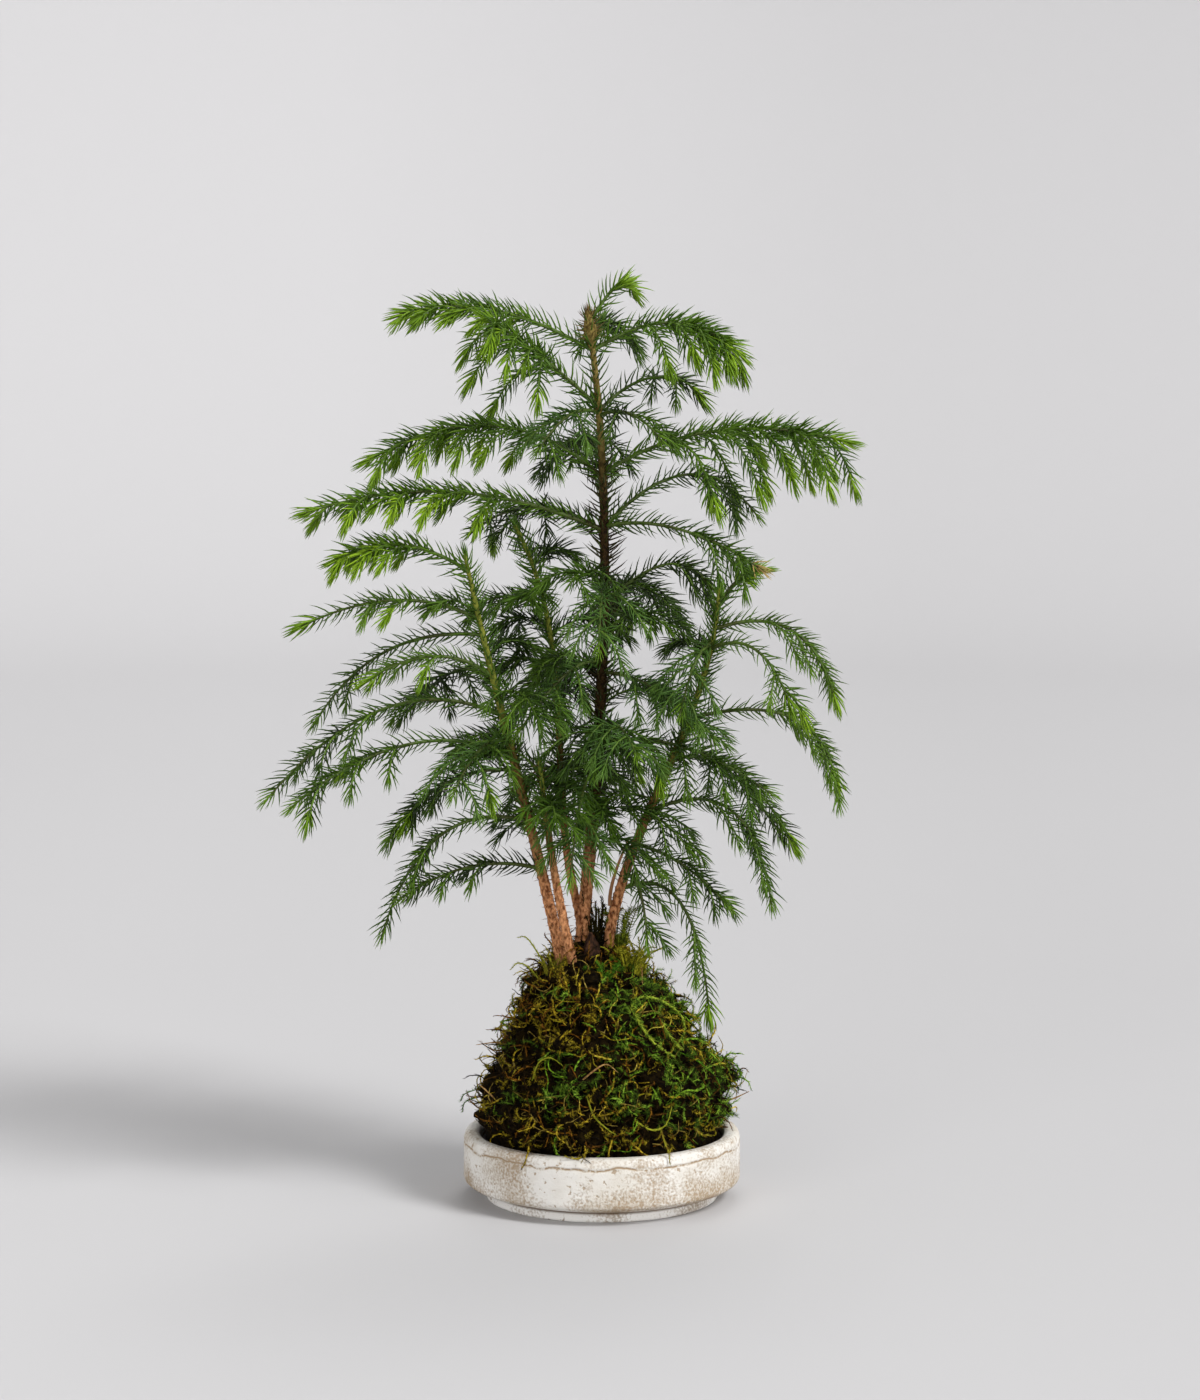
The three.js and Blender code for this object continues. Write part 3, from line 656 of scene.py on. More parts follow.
growth = {
    # the same rule as that of the solids
    "firstShoot": 0.24,
    "shootStretch": 0.66,
    "lengthLoss": (1.12, 0.62),  # shoots get shorter towards the bough's tip
    "leastLean": 44,
    "moreLean": 16,
    "pull": (0.55, 0.08),        # out and up, for a length of 1
    "tipOut": 0.95,
    # fine shoots between them
    "firstFine": 0.46,
    "fineStretch": 0.4,
    "fineShare": 0.85,     # of the length of their neighbours
    "fineLean": 36,
    "fineDroop": 0.8,
    # thickness, and the share of the needles' lean
    "boughRadius": 0.95,
    "boughTip": 0.4,
    "boughSpread": 1.06,
    "shootRadius": 0.55,
    "shootTip": 0.35,
    "shootSpread": 0.96,
    # looks
    "neighbours": 0.25,    # the share of shoots in the neighbouring tone
    "freshTips": 0.08,
    "dryBough": "tier4_front",
    "bareTop": 150,        # below it nothing hangs in front of the stems' feet
    "bareWidth": 8,
}
innerBoughs = {
    # small ones that fill the crown: heights, how many, reach of the lowest and of the highest
    "main_trunk": ((164, 290), 8, (50, 34)),
    "outer_stem": ((186, 280), 5, (42, 24)),
    "inner_stem": ((158, 200), 5, (46, 34)),
    "middle_stem": ((200, 298), 7, (42, 22)),
    "right_stem": ((176, 268), 3, (36, 22)),
}
inner = {
    "shoots": 4,
    "shootShare": 0.62,
    "droop": 0.35,
    "neighbours": 0.3,
}


def shootsOf(arch, heading, seed, count, reach, droop):
    roll = dice(seed)
    most, loss = growth["lengthLoss"]
    found = []
    for i in range(count):
        t = growth["firstShoot"] + growth["shootStretch"] * (i + 0.35 + 0.3 * roll()) / count
        length = reach * (most - loss * t) * (0.85 + 0.3 * roll())
        lean = math.radians(growth["leastLean"] + growth["moreLean"] * roll())
        found.append(shootArch(arch, heading, t, length, lean, droop, 1 if i % 2 else -1))
    return found


def fineShootsOf(arch, heading, seed, count, reach, droop):
    roll = dice(seeds["fine"] + seed)
    most, loss = growth["lengthLoss"]
    found = []
    for i in range(count):
        t = growth["firstFine"] + growth["fineStretch"] * (i + 0.5 * roll()) / count
        length = growth["fineShare"] * reach * (most - loss * t) * (0.75 + 0.5 * roll())
        lean = math.radians(growth["fineLean"] + growth["moreLean"] * (roll() - 0.5))
        hand = -1 if i % 2 else 1
        found.append(shootArch(arch, heading, t, length, lean, droop * growth["fineDroop"], hand))
    return found


def shootArch(arch, heading, t, length, lean, droop, hand):
    root = archAt(arch, t)
    ahead = archAt(arch, t + 0.001) - root
    ahead /= np.linalg.norm(ahead)
    aside = np.array([-math.sin(heading), math.cos(heading), 0]) * hand
    way = ahead * math.cos(lean) + aside * math.sin(lean)
    out, rise = growth["pull"]
    pull = root + way * out * length + up * rise * length
    tip = root + way * growth["tipOut"] * length - up * droop * length
    return [root, pull, tip]


def hidesFoot(arch):
    tip = arch[2]
    if tip[2] > growth["bareTop"] or tip[1] > 0:
        return False
    return any(abs(tip[0] - stemAtHeight(stem, tip[2])[0]) < growth["bareWidth"] for stem in stems.values())


def pathOf(arch, step=3.0):
    count = max(4, int(pathLength([archAt(arch, i / 8) for i in range(9)]) / step))
    return np.array([archAt(arch, i / count) for i in range(count + 1)])


def boughArch(stem, height, heading, shoulder, tip):
    foot = stemAtHeight(stems[stem], height)
    ahead = np.array([math.cos(heading), math.sin(heading), 0])
    return [foot] + [foot + ahead * out + up * rise for out, rise in (shoulder, tip)]


def twig(path, kind, tone, bough, tip=None):
    size = "bough" if kind == "bough" else "shoot"
    return {"path": path, "kind": kind, "tone": tone, "tip": tip or tone, "bough": bough,
            "thick": growth[size + "Radius"], "thin": growth[size + "Tip"], "spread": growth[size + "Spread"]}


neighbourTone = {
    "deep": "middle", "middle": "deep", "bluish": "middle", "light": "fresh", "fresh": "lime", "lime": "fresh"
}
boughTip = {"deep": "light", "middle": "light", "light": "fresh", "bluish": "light", "fresh": "fresh"}
keptShoots = {"deep": 0.75, "middle": 0.6, "light": 0.4, "bluish": 0.65, "fresh": 1}  # the share that grows


def growSprays():
    sprays = []
    for seed, (name, stem, height, degrees, shoulder, tip, count, reach, droop, tone) in enumerate(boughs, 1):
        heading = math.radians(degrees)
        arch = boughArch(stem, height, heading, shoulder, tip)
        tip = "dry" if name == growth["dryBough"] else boughTip[tone]
        sprays.append(twig(pathOf(arch), "bough", tone, name, tip))
        roll = dice(seeds["choice"] + seed)
        shoots = shootsOf(arch, heading, seed, count, reach, droop)
        if tone == "fresh":
            shoots += fineShootsOf(arch, heading, seed, count // 2, reach, droop)
        for shoot in shoots:
            if roll() > keptShoots[tone] or hidesFoot(shoot):
                continue
            own = neighbourTone[tone] if roll() < growth["neighbours"] else tone
            tip = "fresh" if roll() < growth["freshTips"] else own
            sprays.append(twig(pathOf(shoot), "shoot", own, name, tip))
    return sprays + growInnerSprays()


def growInnerSprays():
    sprays = []
    seed = seeds["inner"]
    for name, ((low, high), count, reach) in innerBoughs.items():
        for i in range(count):
            seed += 1
            roll = dice(seed)
            share = (i + roll()) / count
            heading = seed * goldenTurn + roll() - 0.5
            out = blend(*reach, share) * (0.8 + 0.4 * roll())
            shoulder = (out * 0.55, out * blend(0.3, 0.5, share))
            tip = (out, out * blend(-0.35, 0.2, share) * (0.5 + roll()))
            arch = boughArch(name, blend(low, high, share), heading, shoulder, tip)
            facing = -math.sin(heading)
            # inner boughs facing the back take the deep tone, which is painted shade
            tone = "deep" if facing < -0.3 else "bluish" if facing > 0.5 and roll() < 0.5 else "middle"
            sprays.append(twig(pathOf(arch), "inner", tone, name))
            long = out * inner["shootShare"]
            for shoot in shootsOf(arch, heading, seed, inner["shoots"], long, inner["droop"]):
                own = neighbourTone[tone] if roll() < inner["neighbours"] else tone
                sprays.append(twig(pathOf(shoot), "inner", own, name))
    return sprays


# chains of edges, with the way to each tip, the distance left to it and the twig's radius
def pathMesh(sprays):
    points, edges, forward, toTip, radius, spread = [], [], [], [], [], []
    for spray in sprays:
        path = spray["path"]
        start = len(points)
        steps = np.linalg.norm(np.diff(path, axis=0), axis=1)
        left = np.append(np.cumsum(steps[::-1])[::-1], 0)
        points += list(path * mm)
        edges += [(start + i, start + i + 1) for i in range(len(path) - 1)]
        forward += list(framesAlong(path)[0])
        toTip += list(left * mm)
        radius += list(blend(spray["thick"], spray["thin"], 1 - left / left[0]) * mm)
        spread += [spray.get("spread", 1)] * len(path)
    paths = plainObject("paths", points, [], edges=edges)
    setField(paths, "forward", forward, "FLOAT_VECTOR", "vector")
    for name, values in (("toTip", toTip), ("twigRadius", radius), ("spread", spread)):
        setField(paths, name, values)
    return paths


def twigTree():
    tree, given, result = newTree(
        "twigs", "GeometryNodeTree",
        [("Geometry", "Geometry", None), ("Sides", "Int", 6), ("Material", "Material", None)],
        [("Geometry", "Geometry")])
    line = addNode(tree, "GeometryNodeMeshToCurve", Mesh=given["Geometry"])
    width = namedField(tree, "FLOAT", "twigRadius")
    thick = addNode(tree, "GeometryNodeSetCurveRadius", Curve=line, Radius=width)
    ring = addNode(tree, "GeometryNodeCurvePrimitiveCircle", Resolution=given["Sides"], Radius=1.0)
    tube = addNode(tree, "GeometryNodeCurveToMesh", Curve=thick, Profile_Curve=ring, Fill_Caps=True,
                   Scale=addNode(tree, "GeometryNodeInputRadius"))
    smooth = addNode(tree, "GeometryNodeSetShadeSmooth", Geometry=tube)
    plug(tree, result.inputs["Geometry"], realAndPainted(tree, smooth, given["Material"]))
    return tree


# a spiral along each path, spread on the old wood and folded forward round the growing tip
def needleTree():
    tree, given, result = newTree(
        "needles", "GeometryNodeTree",
        [("Geometry", "Geometry", None), ("Needles", "Collection", None), ("Shapes", "Int", 3),
         ("Spacing", "Float", 0.6 * mm), ("Length", "Float", 9.5 * mm), ("Lean", "Float", 0.95),
         ("Tip Lean", "Float", 0.2), ("Fold From", "Float", 12 * mm), ("Nearest", "Float", 0.0),
         ("Farthest", "Float", 1.0), ("Seed", "Int", 1), ("Material", "Material", None)],
        [("Geometry", "Geometry")])
    line = addNode(tree, "GeometryNodeMeshToCurve", Mesh=given["Geometry"])
    spaced = addNode(tree, "GeometryNodeResampleCurve", mode="LENGTH", Curve=line, Length=given["Spacing"])
    toTip = namedField(tree, "FLOAT", "toTip")
    near, far = (
        addNode(tree, "FunctionNodeCompare", {0: toTip, 1: given[limit]}, data_type="FLOAT", operation=test)
        for limit, test in (("Nearest", "GREATER_EQUAL"), ("Farthest", "LESS_THAN")))
    here = addNode(tree, "FunctionNodeBooleanMath", {0: near, 1: far}, operation="AND")

    ahead = {0: namedField(tree, "FLOAT_VECTOR", "forward"), 1: (0.3, 0.2, 1)}
    aim = addNode(tree, "FunctionNodeAxesToRotation", ahead, primary_axis="Z", secondary_axis="X")
    spiral = calc(tree, "MULTIPLY", addNode(tree, "GeometryNodeInputIndex"), goldenTurn)
    spiral = calc(tree, "ADD", spiral, randomly(tree, -0.5, 0.5, given["Seed"], 1))
    spun = turned(tree, aim, (0, 0, 1), spiral)
    spread = calc(tree, "MULTIPLY", given["Lean"], namedField(tree, "FLOAT", "spread"))
    opening = calc(tree, "POWER", mapped(tree, toTip, 0.0, given["Fold From"], 0.0, 1.0), 1.2)
    opening = calc(tree, "MULTIPLY", opening, calc(tree, "SUBTRACT", spread, given["Tip Lean"]))
    lean = calc(tree, "ADD", given["Tip Lean"], opening)
    lean = calc(tree, "MULTIPLY", lean, randomly(tree, 0.85, 1.15, given["Seed"], 2))
    leaned = turned(tree, spun, (0, 1, 0), lean)
    size = calc(tree, "MULTIPLY", given["Length"], randomly(tree, 0.82, 1.12, given["Seed"], 3))
    size = calc(tree, "MULTIPLY", size, mapped(tree, toTip, 0.0, 6 * mm, 0.62, 1.0))
    plug(tree, result.inputs["Geometry"], copiesOf(
        tree, spaced, here, given["Needles"], given["Shapes"], given["Seed"], leaned, size,
        given["Material"]))
    return tree


needle = {
    "halfWidth": 0.041,      # for a length of 1
    "bends": (0.16, 0.25, 0.34),
    "stations": ((0, 0.8), (0.3, 1), (0.68, 0.7)),
    "spacing": 0.77,
    "tipSpacing": 0.52,
    "leanDegrees": 54,
    "roughness": 0.45,
    "specular": 0.19,
    "farthest": 1000,
    "mostInPiece": 12500,
    "quickThinning": 3,
}


# awl-shaped, one metre long, bowed forward
def needleShapes():
    halfWidth = needle["halfWidth"]
    meshes = []
    for bend in needle["bends"]:
        points = []
        for height, share in needle["stations"]:
            for k in range(3):
                turn = fullTurn * (k / 3 + 0.5)
                points.append((halfWidth * share * math.cos(turn) - bend * height ** 2,
                               halfWidth * share * math.sin(turn), height))
        points.append((-bend, 0, 1))
        meshes.append((points, ringFaces(3, 3)[:-1] + [(6, 7, 9), (7, 8, 9), (8, 6, 9)]))
    return shapeCollection("needle", meshes)


tones = {
    # body colours, tip colours, tip length, needle length, lean at the tip, how far from it they fold, slot
    # deep is painted shade: a darker copy of the needles for boughs at the back, low down and inside
    "deep": (("#30440d", "#20320a"), ("#405b15", "#324b10"), 6, 10.2, 26, 9, "needles"),
    "middle": (("#436113", "#2f480c"), ("#56771b", "#466615"), 7, 9.8, 24, 9, "needles"),
    "light": (("#52721e", "#3f5913"), ("#698c25", "#56781a"), 8, 9.0, 24, 9, "needles"),
    "bluish": (("#4c6d2c", "#39551f"), ("#618233", "#4f7028"), 6, 9.6, 26, 9, "bluish_needles"),
    "fresh": (("#527318", "#3b590f"), ("#7da021", "#658718"), 11, 11, 15, 13, "young_needles"),
    "lime": (("#638619", "#496a12"), ("#8fb128", "#789b1e"), 13, 10.6, 15, 13, "young_needles"),
    "dry": (None, ("#cfbd7c", "#ab8d56"), 7, 9, 24, 9, "needles"),
}


def sprayBatches(sprays, spacing, reach):
    batches, count = [[]], 0
    for spray in sprays:
        own = min(reach, pathLength(spray["path"])) / spacing
        if count + own > needle["mostInPiece"]:
            batches.append([])
            count = 0
        batches[-1].append(spray)
        count += own
    return [batch for batch in batches if batch]


def needlePaint(name, colours):
    return twoTone(name, *colours, roughness=needle["roughness"], specular=needle["specular"])


def needlePiece(name, sprays, tree, shapes, seed, paint, spacing, length, leans, foldFrom, reach):
    paths = pathMesh(sprays)
    piece = grown(paths, tree, name, {
        "Needles": shapes, "Shapes": len(needle["bends"]), "Spacing": spacing * mm, "Length": length * mm,
        "Lean": math.radians(leans[0]), "Tip Lean": math.radians(leans[1]), "Fold From": foldFrom * mm,
        "Nearest": reach[0] * mm, "Farthest": reach[1] * mm, "Seed": seed, "Material": paint})
    remove(paths)
    return piece


def makeNeedles(sprays):
    tree = needleTree()
    shapes = needleShapes()
    thin = 1
    for seed, (tone, (body, tip, tipLength, length, tipLean, foldFrom, slot)) in enumerate(tones.items(), 1):
        leans = (needle["leanDegrees"], tipLean)
        for zone, suffix, colours, reach, step in (
                ("tone", "_body", body, (tipLength, needle["farthest"]), needle["spacing"]),
                ("tip", "_tips", tip, (0, tipLength), needle["tipSpacing"])):
            if not colours:
                continue
            paint = needlePaint(tone + suffix, colours)
            mine = [spray for spray in sprays if spray[zone] == tone]
            for n, batch in enumerate(sprayBatches(mine, step, reach[1])):
                piece = needlePiece(f"{tone}{suffix}_{n + 1}", batch, tree, shapes, 10 * seed + n, paint,
                                    step * thin, length, leans, foldFrom, reach)
                outer = {spray["bough"] for spray in batch if spray["kind"] != "inner"}
                addPiece(piece, sorted(outer))
    makeStemNeedles(tree, shapes)
    clearShapes(shapes)


stemNeedles = {
    # stems, from where to where (from the tip, or from the foot), spacing, length, lean, colours, slot
    "trunkGreen": (["main_trunk"], (5, 70), 0.8, 11, 66, ("#4d6d24", "#3b561c"), "young_needles"),
    "trunkAged": (["main_trunk"], (70, 250), 0.5, 11.5, 70, ("#3c4a1c", "#33290f"), "needles"),
    "stemGreen": (["outer_stem", "middle_stem", "right_stem", "inner_stem"], (0, 140), 0.42, 10.6, 64,
                  ("#557626", "#3b581a"), "needles"),
    "dryStubs": (["main_trunk", "outer_stem", "right_stem", "inner_stem"], (9, 110), 0.9, 5.4, 105,
                 ("#9a6e4a", "#5a3a24"), "bark"),
    "budScales": (["main_trunk"], (1, 13), 0.13, 7.4, 88, ("#84703a", "#5f4a28"), "young_needles"),
}
stemGrowth = {
    "fromFoot": ("dryStubs",),
    "tipLean": 15,
    "foldFrom": 8,
    "bareBelow": 166,  # no green needles there
    "step": 3.0,
}


def makeStemNeedles(tree, shapes):
    for seed, (name, row) in enumerate(stemNeedles.items(), seeds["stemNeedles"]):
        bearers, reach, spacing, length, lean, colours, slot = row
        sprays = []
        for stem in bearers:
            path = stemPath(stems[stem], stemGrowth["step"])[0]
            if name in stemGrowth["fromFoot"]:
                path = path[::-1]
            else:
                path = path[path[:, 2] > stemGrowth["bareBelow"]]
            sprays.append({"path": path, "thick": 1, "thin": 1, "spread": 1})
        piece = needlePiece(name, sprays, tree, shapes, seed, needlePaint(name, colours), spacing, length,
                            (lean, stemGrowth["tipLean"]), stemGrowth["foldFrom"], reach)
        addPiece(piece)


bareTwig = {
    "line": [(3.7, 1.3, 134), (2.8, -1, 144), (12, -5, 165)],
    "thick": 0.9,
    "thin": 0.5,
}


def makeTwigs(sprays):
    tree = twigTree()
    green = twoTone("twigGreen", "#5f7c2a", "#4a6420")
    wood = twoTone("boughWood", "#4f6626", "#40481c")
    dead = twoTone("deadTwig", "#a87b52", "#8a5f3c")
    axes = [spray for spray in sprays if spray["kind"] == "bough"]
    shoots = [spray for spray in sprays if spray["kind"] != "bough"]
    bare = [{**bareTwig, "path": pathOf(bareTwig["line"])}]
    for name, mine, sides, paint, nodes in (
            ("boughAxes", axes, 8, wood, [bough + "_limb" for bough in limbed]),
            ("shootAxes", shoots, 6, green, ()),
            ("bareTwig", bare, 8, dead, ())):
        paths = pathMesh(mine)
        piece = grown(paths, tree, name, {"Sides": sides, "Material": paint})
        remove(paths)
        addPiece(piece, nodes)


mossRings = [
    # height, radius, and how far the middle is off
    (4.9, 45, 0), (8, 50, 0), (18, 52.4, 0), (31, 54.4, 0), (37, 57, 0.6), (47, 57.4, 1), (58, 54, 0.8),
    (68, 50, 0), (78, 45, -1.8), (88, 40.4, -3.6), (98, 33, -6), (105, 25.5, -7), (111, 18, -7),
    (115.5, 10, -6.5), (118, 0, -6.5),
]
ball = {
    "sides": 170,
    "rings": 130,
    "crowding": 1.35,         # of the rings towards the top
    "rimHeight": 34,
    "inset": 1.4,
    "clumpDepth": 7,
    "creaseDepth": 9,
    "clumpScale": 0.08,
    "crown": (118, 104),      # no draw above
    "leftDraw": (6, 46, 76),  # how much slimmer it is on the left, and between which heights that sets in
    "rightDraw": (3, 56, 70),
    "rimDraw": (4, 30, 36, 56, 44),
}


def ballRadius(z):
    for (low, r0, x0), (high, r1, x1) in zip(mossRings, mossRings[1:]):
        if z <= high:
            t = max(0, (z - low) / (high - low))
            return blend(r0, r1, t), blend(x0, x1, t)
    return 0, mossRings[-1][2]


def ballPoint(turn, z, lift=0.0):
    radius, off = ballRadius(z)
    below = eased(z, *ball["crown"])
    left, right, rim = ball["leftDraw"], ball["rightDraw"], ball["rimDraw"]
    radius += lift - left[0] * max(0, -math.cos(turn)) * eased(z, *left[1:]) * below
    draw = right[0] * eased(z, *right[1:]) * below + rim[0] * eased(z, *rim[1:3]) * eased(z, *rim[3:])
    radius -= draw * max(0, math.cos(turn))
    return np.array([off + radius * math.cos(turn), radius * math.sin(turn), z])


mossShares = {
    "width": 57,              # millimetres from the middle, for a share of 1
    "height": 84,             # over the rim
    "broadScale": 0.07,
    "patchScale": 0.13,
    "tufts": (0.1, 1.5),      # least cover, and what a ridge adds
    "green": (0.8, 1.2, 0.15, 0.8, 0.45),  # by right, patch, everywhere, less at the top, less at the rim
    "greenRamp": (-0.2, 0.45),
    "leastGreen": 0.03,
    "oliveGreen": 0.85,       # what green takes from olive
    "bareRamp": (0.1, 0.7),
    "bareOlive": 0.65,        # what the bare flank takes from olive, and from the bright tones
    "bareBright": 0.4,
    "brightRamp": (0.0, 0.35),
}


def makeBallCore():
    points, ridges = [], []
    rim = ball["rimHeight"]
    for i in range(ball["rings"]):
        share = i / (ball["rings"] - 1)
        z = blend(mossRings[0][0], mossRings[-1][0] - 0.3, 1 - (1 - share) ** ball["crowding"])
        for turn in turnsOf(ball["sides"]):
            spot = Vector(ballPoint(turn, z)) * ball["clumpScale"]
            crease = abs(noise.noise(spot * 1.7 + Vector((3, 1, 7)))) ** 0.6 - 0.4
            ridges.append(crease)
            clump = ball["clumpDepth"] * noise.fractal(spot, 0.75, 2.3, 4) + ball["creaseDepth"] * crease
            free = float(eased(z, rim - 4, rim + 4))
            points.append(ballPoint(turn, z, clump * free - ball["inset"]) * mm)
    core = plainObject("mossCore", points, ringFaces(ball["rings"], ball["sides"]), peatAndShadePaint())
    masks = mossMasks(np.array(points) / mm, np.array(ridges))
    for name, values in masks.items():
        setField(core, name, values)
    return core, list(masks)


# where each colour of moss grows: green on the right, brown and bare on the lower left
def mossMasks(places, ridges):
    rule, rim = mossShares, ball["rimHeight"]
    toRight = places[:, 0] / rule["width"]
    high = (places[:, 2] - rim) / rule["height"]
    broad = np.array([noise.noise(Vector(p) * rule["broadScale"] + Vector((5, 0, 0))) for p in places])
    patchy = np.array([noise.noise(Vector(p) * rule["patchScale"] + Vector((0, 9, 0))) for p in places])
    tufty = rule["tufts"][0] + rule["tufts"][1] * eased(ridges, -0.2, 0.2)
    free = eased(places[:, 2], rim - 2, rim + 2)
    low = 1 - eased(high, 0.02, 0.3)
    byRight, byPatch, base, byTop, byRim = rule["green"]
    green = byRight * toRight + byPatch * broad + base - byTop * eased(high, 0.75, 1) - byRim * low
    green = eased(green, *rule["greenRamp"]) * free
    bare = eased(0.5 * broad - toRight, *rule["bareRamp"]) * (1 - eased(high, 0.3, 0.6))
    return {
        "all": free * free,
        "green": (rule["leastGreen"] + (1 - rule["leastGreen"]) * green) * tufty * free,
        "olive": (1 - rule["oliveGreen"] * green) * (1 - rule["bareOlive"] * bare) * tufty * free,
        "bright": eased(patchy, *rule["brightRamp"]) * (1 - rule["bareBright"] * bare) * tufty * free,
    }


# dark peat under the moss, darkened nearly to black as painted shade for the gaps between the clumps
def peatAndShadePaint():
    material, tree, shader = newMaterial("peatAndPaintedShade", 0.95, 0.05)
    place = objectPlace(tree)
    plug(tree, shader.inputs["Base Color"], drifting(tree, "#070402", "#1d1505", 420, place))
    bumped(tree, shader, noiseOf(tree, place, 900.0), 0.8, 0.001)
    return material


def tubeAlong(path, radii, sides=3):
    _, lift, side = framesAlong(path)
    points = []
    for i, radius in enumerate(radii):
        for turn in turnsOf(sides):
            points.append(path[i] + radius * outward(lift[i], side[i], turn))
    return points, ringFaces(len(path), sides)


def addLeaflet(points, faces, root, way, across, lift):
    start = len(points)
    points += [root - across, root + across, root + lift, root + way]
    faces += [(start, start + 1, start + 3), (start + 1, start + 2, start + 3), (start + 2, start, start + 3),
              (start, start + 2, start + 1)]


def taper(count, radius):
    swell = [0.5 + 0.5 * math.sin(math.pi * min(1, 0.2 + i / count)) for i in range(count)]
    return [radius * share for share in swell + [0.2]]


def thread(path, radius, roll):
    return tubeAlong(path, taper(len(path) - 1, radius))


# a stem closely set with short leaves all round
def shag(path, radius, roll):
    points, faces = tubeAlong(path, taper(len(path) - 1, radius * 0.6))
    ahead, lift, side = framesAlong(path)
    for i in range(1, len(path)):
        for k in range(3):
            out = outward(lift[i], side[i], fullTurn * (k / 3 + roll()))
            root = blend(path[i - 1], path[i], (k + roll()) / 3)
            size = radius * (3.2 - 1.6 * i / len(path)) * (0.8 + 0.5 * roll())
            addLeaflet(points, faces, root, (ahead[i] * 0.85 + out * 0.6) * size,
                       np.cross(ahead[i], out) * 0.3 * radius, out * 0.35 * radius)
    return points, faces


# a fine stem with leaflets in two ranks
def frond(path, radius, roll):
    points, faces = tubeAlong(path, taper(len(path) - 1, radius * 0.5))
    ahead, lift, side = framesAlong(path)
    last = len(path) - 1
    for i in range(1, last + 1):
        for hand in (-1, 1):
            for half in (0, 0.5):
                root = blend(path[i - 1], path[i], half)
                size = radius * (5.6 - 3.0 * i / last) * (0.6 + 0.7 * roll())
                way = side[i] * hand * 0.8 + ahead[i] * (0.3 + 0.6 * roll()) + lift[i] * (0.9 * roll() - 0.2)
                addLeaflet(points, faces, root, way * size, ahead[i] * 0.36 * radius, lift[i] * 0.3 * radius)
    return points, faces


# leaves a surface, bows over it and turns aside as it goes
def curledPath(roll, length, steps, curl, rise):
    bend = (roll() - 0.5) * 2 * curl
    heading = -bend / 2
    place = np.array([0.0, 0.0, -moss["sunk"]])
    end = (roll() - 0.35) * rise
    path = [place.copy()]
    for i in range(steps):
        share = (i + 1) / steps
        heading += bend / steps + (roll() - 0.5) * 0.55
        place = place + np.array([math.cos(heading), math.sin(heading), 0]) * length / steps
        bow = rise * math.sin(math.pi * share ** 0.8)
        place[2] = -moss["sunk"] * (1 - share) + bow + end * share + (roll() - 0.5) * 0.4
        path.append(place.copy())
    return np.array(path)


moss = {
    "steps": 7,
    "kinds": 5,
    "sunk": 1.2,         # the foot of a strand, under the surface
    "quickShare": 0.4,
    "toneScale": 700,
    "roughness": 0.85,
    "specular": 0.08,
}
mosses = {
    # made by, length, radius, how far it turns, how high it bows, mask, density, tilt, sizes, colours
    "darkShags": (shag, 8, 0.46, 0.9, 1.6, "all", 34000, 0.7, (0.5, 1.5), ("#2c1e07", "#0b0702")),
    "brownShags": (shag, 8.5, 0.44, 1.0, 2.0, "olive", 26000, 0.8, (0.5, 1.7), ("#7c5212", "#241604")),
    "oliveShags": (shag, 8.5, 0.5, 0.9, 2.4, "olive", 14000, 0.8, (0.5, 1.8), ("#bda229", "#3d3208")),
    "oliveFronds": (frond, 5, 0.34, 0.6, 1.8, "olive", 44000, 0.9, (0.6, 1.6), ("#a89525", "#352c06")),
    "yellowStrands": (thread, 7, 0.38, 1.0, 2.6, "bright", 6000, 0.9, (0.4, 1.2), ("#d2be50", "#937f28")),
    "yellowShags": (shag, 8, 0.5, 0.9, 2.6, "bright", 9000, 0.8, (0.5, 1.7), ("#c8b63a", "#6f6117")),
    "darkGreenFronds": (frond, 5.5, 0.38, 0.6, 1.6, "green", 50000, 0.9, (0.6, 1.6), ("#4f6a1b", "#162305")),
    "greenShags": (shag, 7.5, 0.5, 0.9, 2.4, "green", 11000, 0.8, (0.5, 1.8), ("#86ae2e", "#36520e")),
    "greenFronds": (frond, 5.5, 0.38, 0.6, 2.2, "green", 24000, 0.9, (0.6, 1.6), ("#96ba3c", "#355411")),
    "strays": (thread, 10, 0.26, 1.2, 3.4, "all", 5500, 1.1, (0.5, 1.2), ("#9a8640", "#5a4a18")),
}


def mossPaint(name, colours):
    return twoTone(name, *colours, moss["toneScale"], moss["roughness"], moss["specular"])


# strewn over the ball, lying along it in every direction
def mossTree():
    tree, given, result = newTree(
        "moss", "GeometryNodeTree",
        [("Geometry", "Geometry", None), ("Strands", "Collection", None), ("Shapes", "Int", 4),
         ("Where", "String", "all"), ("Density", "Float", 50000.0), ("Least Size", "Float", 0.7),
         ("Most Size", "Float", 1.3), ("Tilt", "Float", 0.3), ("Seed", "Int", 1),
         ("Material", "Material", None)],
        [("Geometry", "Geometry")])
    density = calc(tree, "MULTIPLY", given["Density"], namedField(tree, "FLOAT", given["Where"]))
    strewn = addNode(tree, "GeometryNodeDistributePointsOnFaces", distribute_method="RANDOM",
                     Mesh=given["Geometry"], Seed=given["Seed"], Density=density)
    spin = randomly(tree, 0.0, fullTurn, given["Seed"], 1)
    spun = turned(tree, strewn.outputs["Rotation"], (0, 0, 1), spin)
    tilt = calc(tree, "MULTIPLY", given["Tilt"], randomly(tree, -1.0, 0.4, given["Seed"], 2))
    size = randomly(tree, given["Least Size"], given["Most Size"], given["Seed"], 3)
    plug(tree, result.inputs["Geometry"], copiesOf(
        tree, strewn, True, given["Strands"], given["Shapes"], given["Seed"],
        turned(tree, spun, (0, 1, 0), tilt), size, given["Material"]))
    return tree


